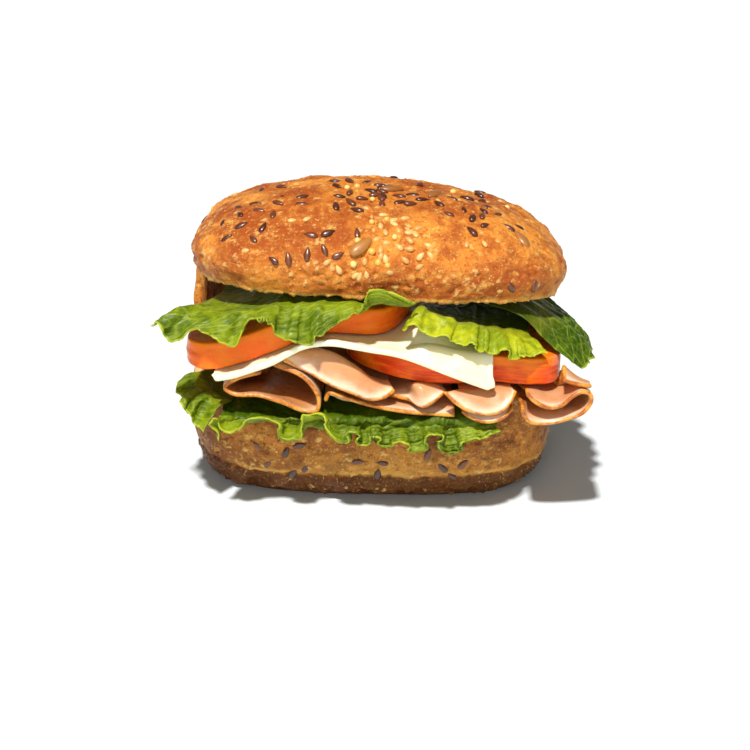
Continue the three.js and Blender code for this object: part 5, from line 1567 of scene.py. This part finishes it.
COLOURS = {
    "crust": ("Crown crust", (0.78, 0.28, 0.035)),
    "crust_dark": ("Crown crust, dark patches", (0.38, 0.075, 0.007)),
    "crust_light": ("Crown crust, light patches", (0.95, 0.54, 0.12)),
    "crust_low": ("Bottom crust", (0.52, 0.19, 0.024)),
    "crust_low_dark": ("Bottom crust, dark patches", (0.22, 0.058, 0.008)),
    "crust_foot": ("Bottom crust, foot", (0.08, 0.022, 0.003)),
    "crust_low_light": ("Bottom crust, light patches", (0.8, 0.45, 0.09)),
    "bran": ("Bran flakes", (0.92, 0.6, 0.2)),
    "crumb": ("Crumb", (0.62, 0.36, 0.13)),
    "crumb_light": ("Crumb, light", (0.85, 0.62, 0.32)),
    "flax": ("Flax seed", (0.055, 0.011, 0.003)),
    "flax_light": ("Flax seed, light", (0.15, 0.038, 0.01)),
    "sesame": ("Sesame seed", (0.6, 0.29, 0.07)),
    "sesame_light": ("Sesame seed, light", (0.78, 0.48, 0.17)),
    "millet": ("Millet", (0.8, 0.42, 0.07)),
    "millet_light": ("Millet, light", (0.9, 0.62, 0.2)),
    "kernel": ("Kernel", (0.28, 0.1, 0.02)),
    "kernel_light": ("Kernel, light", (0.42, 0.18, 0.036)),
    "turkey": ("Turkey", (0.68, 0.38, 0.21)),
    "turkey_light": ("Turkey, light", (0.86, 0.66, 0.49)),
    "turkey_pink": ("Turkey, pink", (0.66, 0.3, 0.16)),
    "turkey_tan": ("Turkey, towards the middle", (0.55, 0.26, 0.1)),
    "turkey_deep": ("Turkey, in folds", (0.46, 0.18, 0.05)),
    "rim_brown": ("Turkey rim, brown", (0.42, 0.12, 0.012)),
    "rim_gold": ("Turkey rim, gold", (0.78, 0.34, 0.05)),
    "cheese": ("Cheese", (0.98, 0.91, 0.64)),
    "cheese_warm": ("Cheese, warm", (0.96, 0.86, 0.5)),
    "cheese_edge": ("Cheese edge", (0.98, 0.92, 0.66)),
    "tomato": ("Tomato", (0.9, 0.13, 0.012)),
    "tomato_deep": ("Tomato, deep", (0.68, 0.045, 0.006)),
    "tomato_orange": ("Tomato, orange", (0.95, 0.15, 0.001)),
    "tomato_pale": ("Tomato, pale", (0.95, 0.26, 0.01)),
    "tomato_gold": ("Tomato, gold", (0.97, 0.3, 0.005)),
    "leaf": ("Lettuce", (0.19, 0.25, 0.003)),
    "leaf_deep": ("Lettuce, deep", (0.07, 0.12, 0.0015)),
    "leaf_dark": ("Lettuce, dark", (0.022, 0.06, 0.001)),
    "leaf_yellow": ("Lettuce, yellow", (0.42, 0.44, 0.008)),
    "skin": ("Tomato skin", (0.93, 0.55, 0.4)),
    "leaf_vein": ("Lettuce vein", (0.36, 0.43, 0.05)),
    "leaf_edge": ("Lettuce edge", (0.46, 0.52, 0.03)),
    # Olive painted shade towards a leaf's hidden part.
    "leaf_rib": ("Lettuce, painted shade olive", (0.2, 0.2, 0.01)),
    "floor": ("Floor", (0.7, 0.76, 0.78)),
    "floor_light": ("Floor, light", (0.74, 0.8, 0.82)),
}


class SandwichColours(bpy.types.PropertyGroup):
    """Colours of the crust, the fillings, the seeds and the floor."""

    __annotations__ = {
        key: colour_property(label, "Colour of: " + label.lower(), value)
        for key, (label, value) in COLOURS.items()
    }


def operator_class(idname, label, words, work):
    """An operator that builds one group of pieces."""

    def execute(self, context):
        work()
        return {"FINISHED"}

    name = "SANDWICH_OT_" + idname
    body = {"bl_idname": "sandwich." + idname, "bl_label": label, "__doc__": words,
            "bl_options": {"REGISTER"}, "execute": execute}
    return type(name, (bpy.types.Operator,), body)


STEPS = [
    operator_class("bottom", "Bottom of the Roll", "Builds the roll's bottom half", make_bottom),
    operator_class("top", "Crown of the Roll", "Builds the roll's top half", make_top),
    operator_class("seeds", "Seeds", "Lays the seeds on the crust", make_seeds),
    operator_class("tomatoes", "Tomato Slices", "Builds the tomato slices", make_tomatoes),
    operator_class("cheese", "Cheese Slice", "Builds the cheese slice", make_cheese),
    operator_class("turkey", "Turkey Slices", "Builds the folded turkey slices", make_turkey),
    operator_class("lettuce", "Lettuce Leaves", "Builds the lettuce leaves", make_lettuce),
    operator_class("stage", "Floor, Light and Camera", "Sets the stage", make_stage),
]


class SANDWICH_PT_panel(bpy.types.Panel):
    """The steps, in the order in which they are run."""

    bl_idname = "SANDWICH_PT_panel"
    bl_label = "Sandwich"
    bl_space_type = "VIEW_3D"
    bl_region_type = "UI"
    bl_category = "Sandwich"

    def draw(self, context):
        for step in STEPS:
            self.layout.operator(step.bl_idname)


CLASSES = [SandwichSizes, SandwichColours, *STEPS, SANDWICH_PT_panel]


def register():
    for item in CLASSES:
        bpy.utils.register_class(item)
    bpy.types.Scene.sandwich_sizes = bpy.props.PointerProperty(type=SandwichSizes)
    bpy.types.Scene.sandwich_colours = bpy.props.PointerProperty(type=SandwichColours)


def unregister():
    del bpy.types.Scene.sandwich_colours
    del bpy.types.Scene.sandwich_sizes
    for item in reversed(CLASSES):
        bpy.utils.unregister_class(item)


def main():
    register()
    for step in STEPS:
        group, name = step.bl_idname.split(".")
        getattr(getattr(bpy.ops, group), name)()
    bpy.context.view_layer.update()


if __name__ == "__main__":
    main()
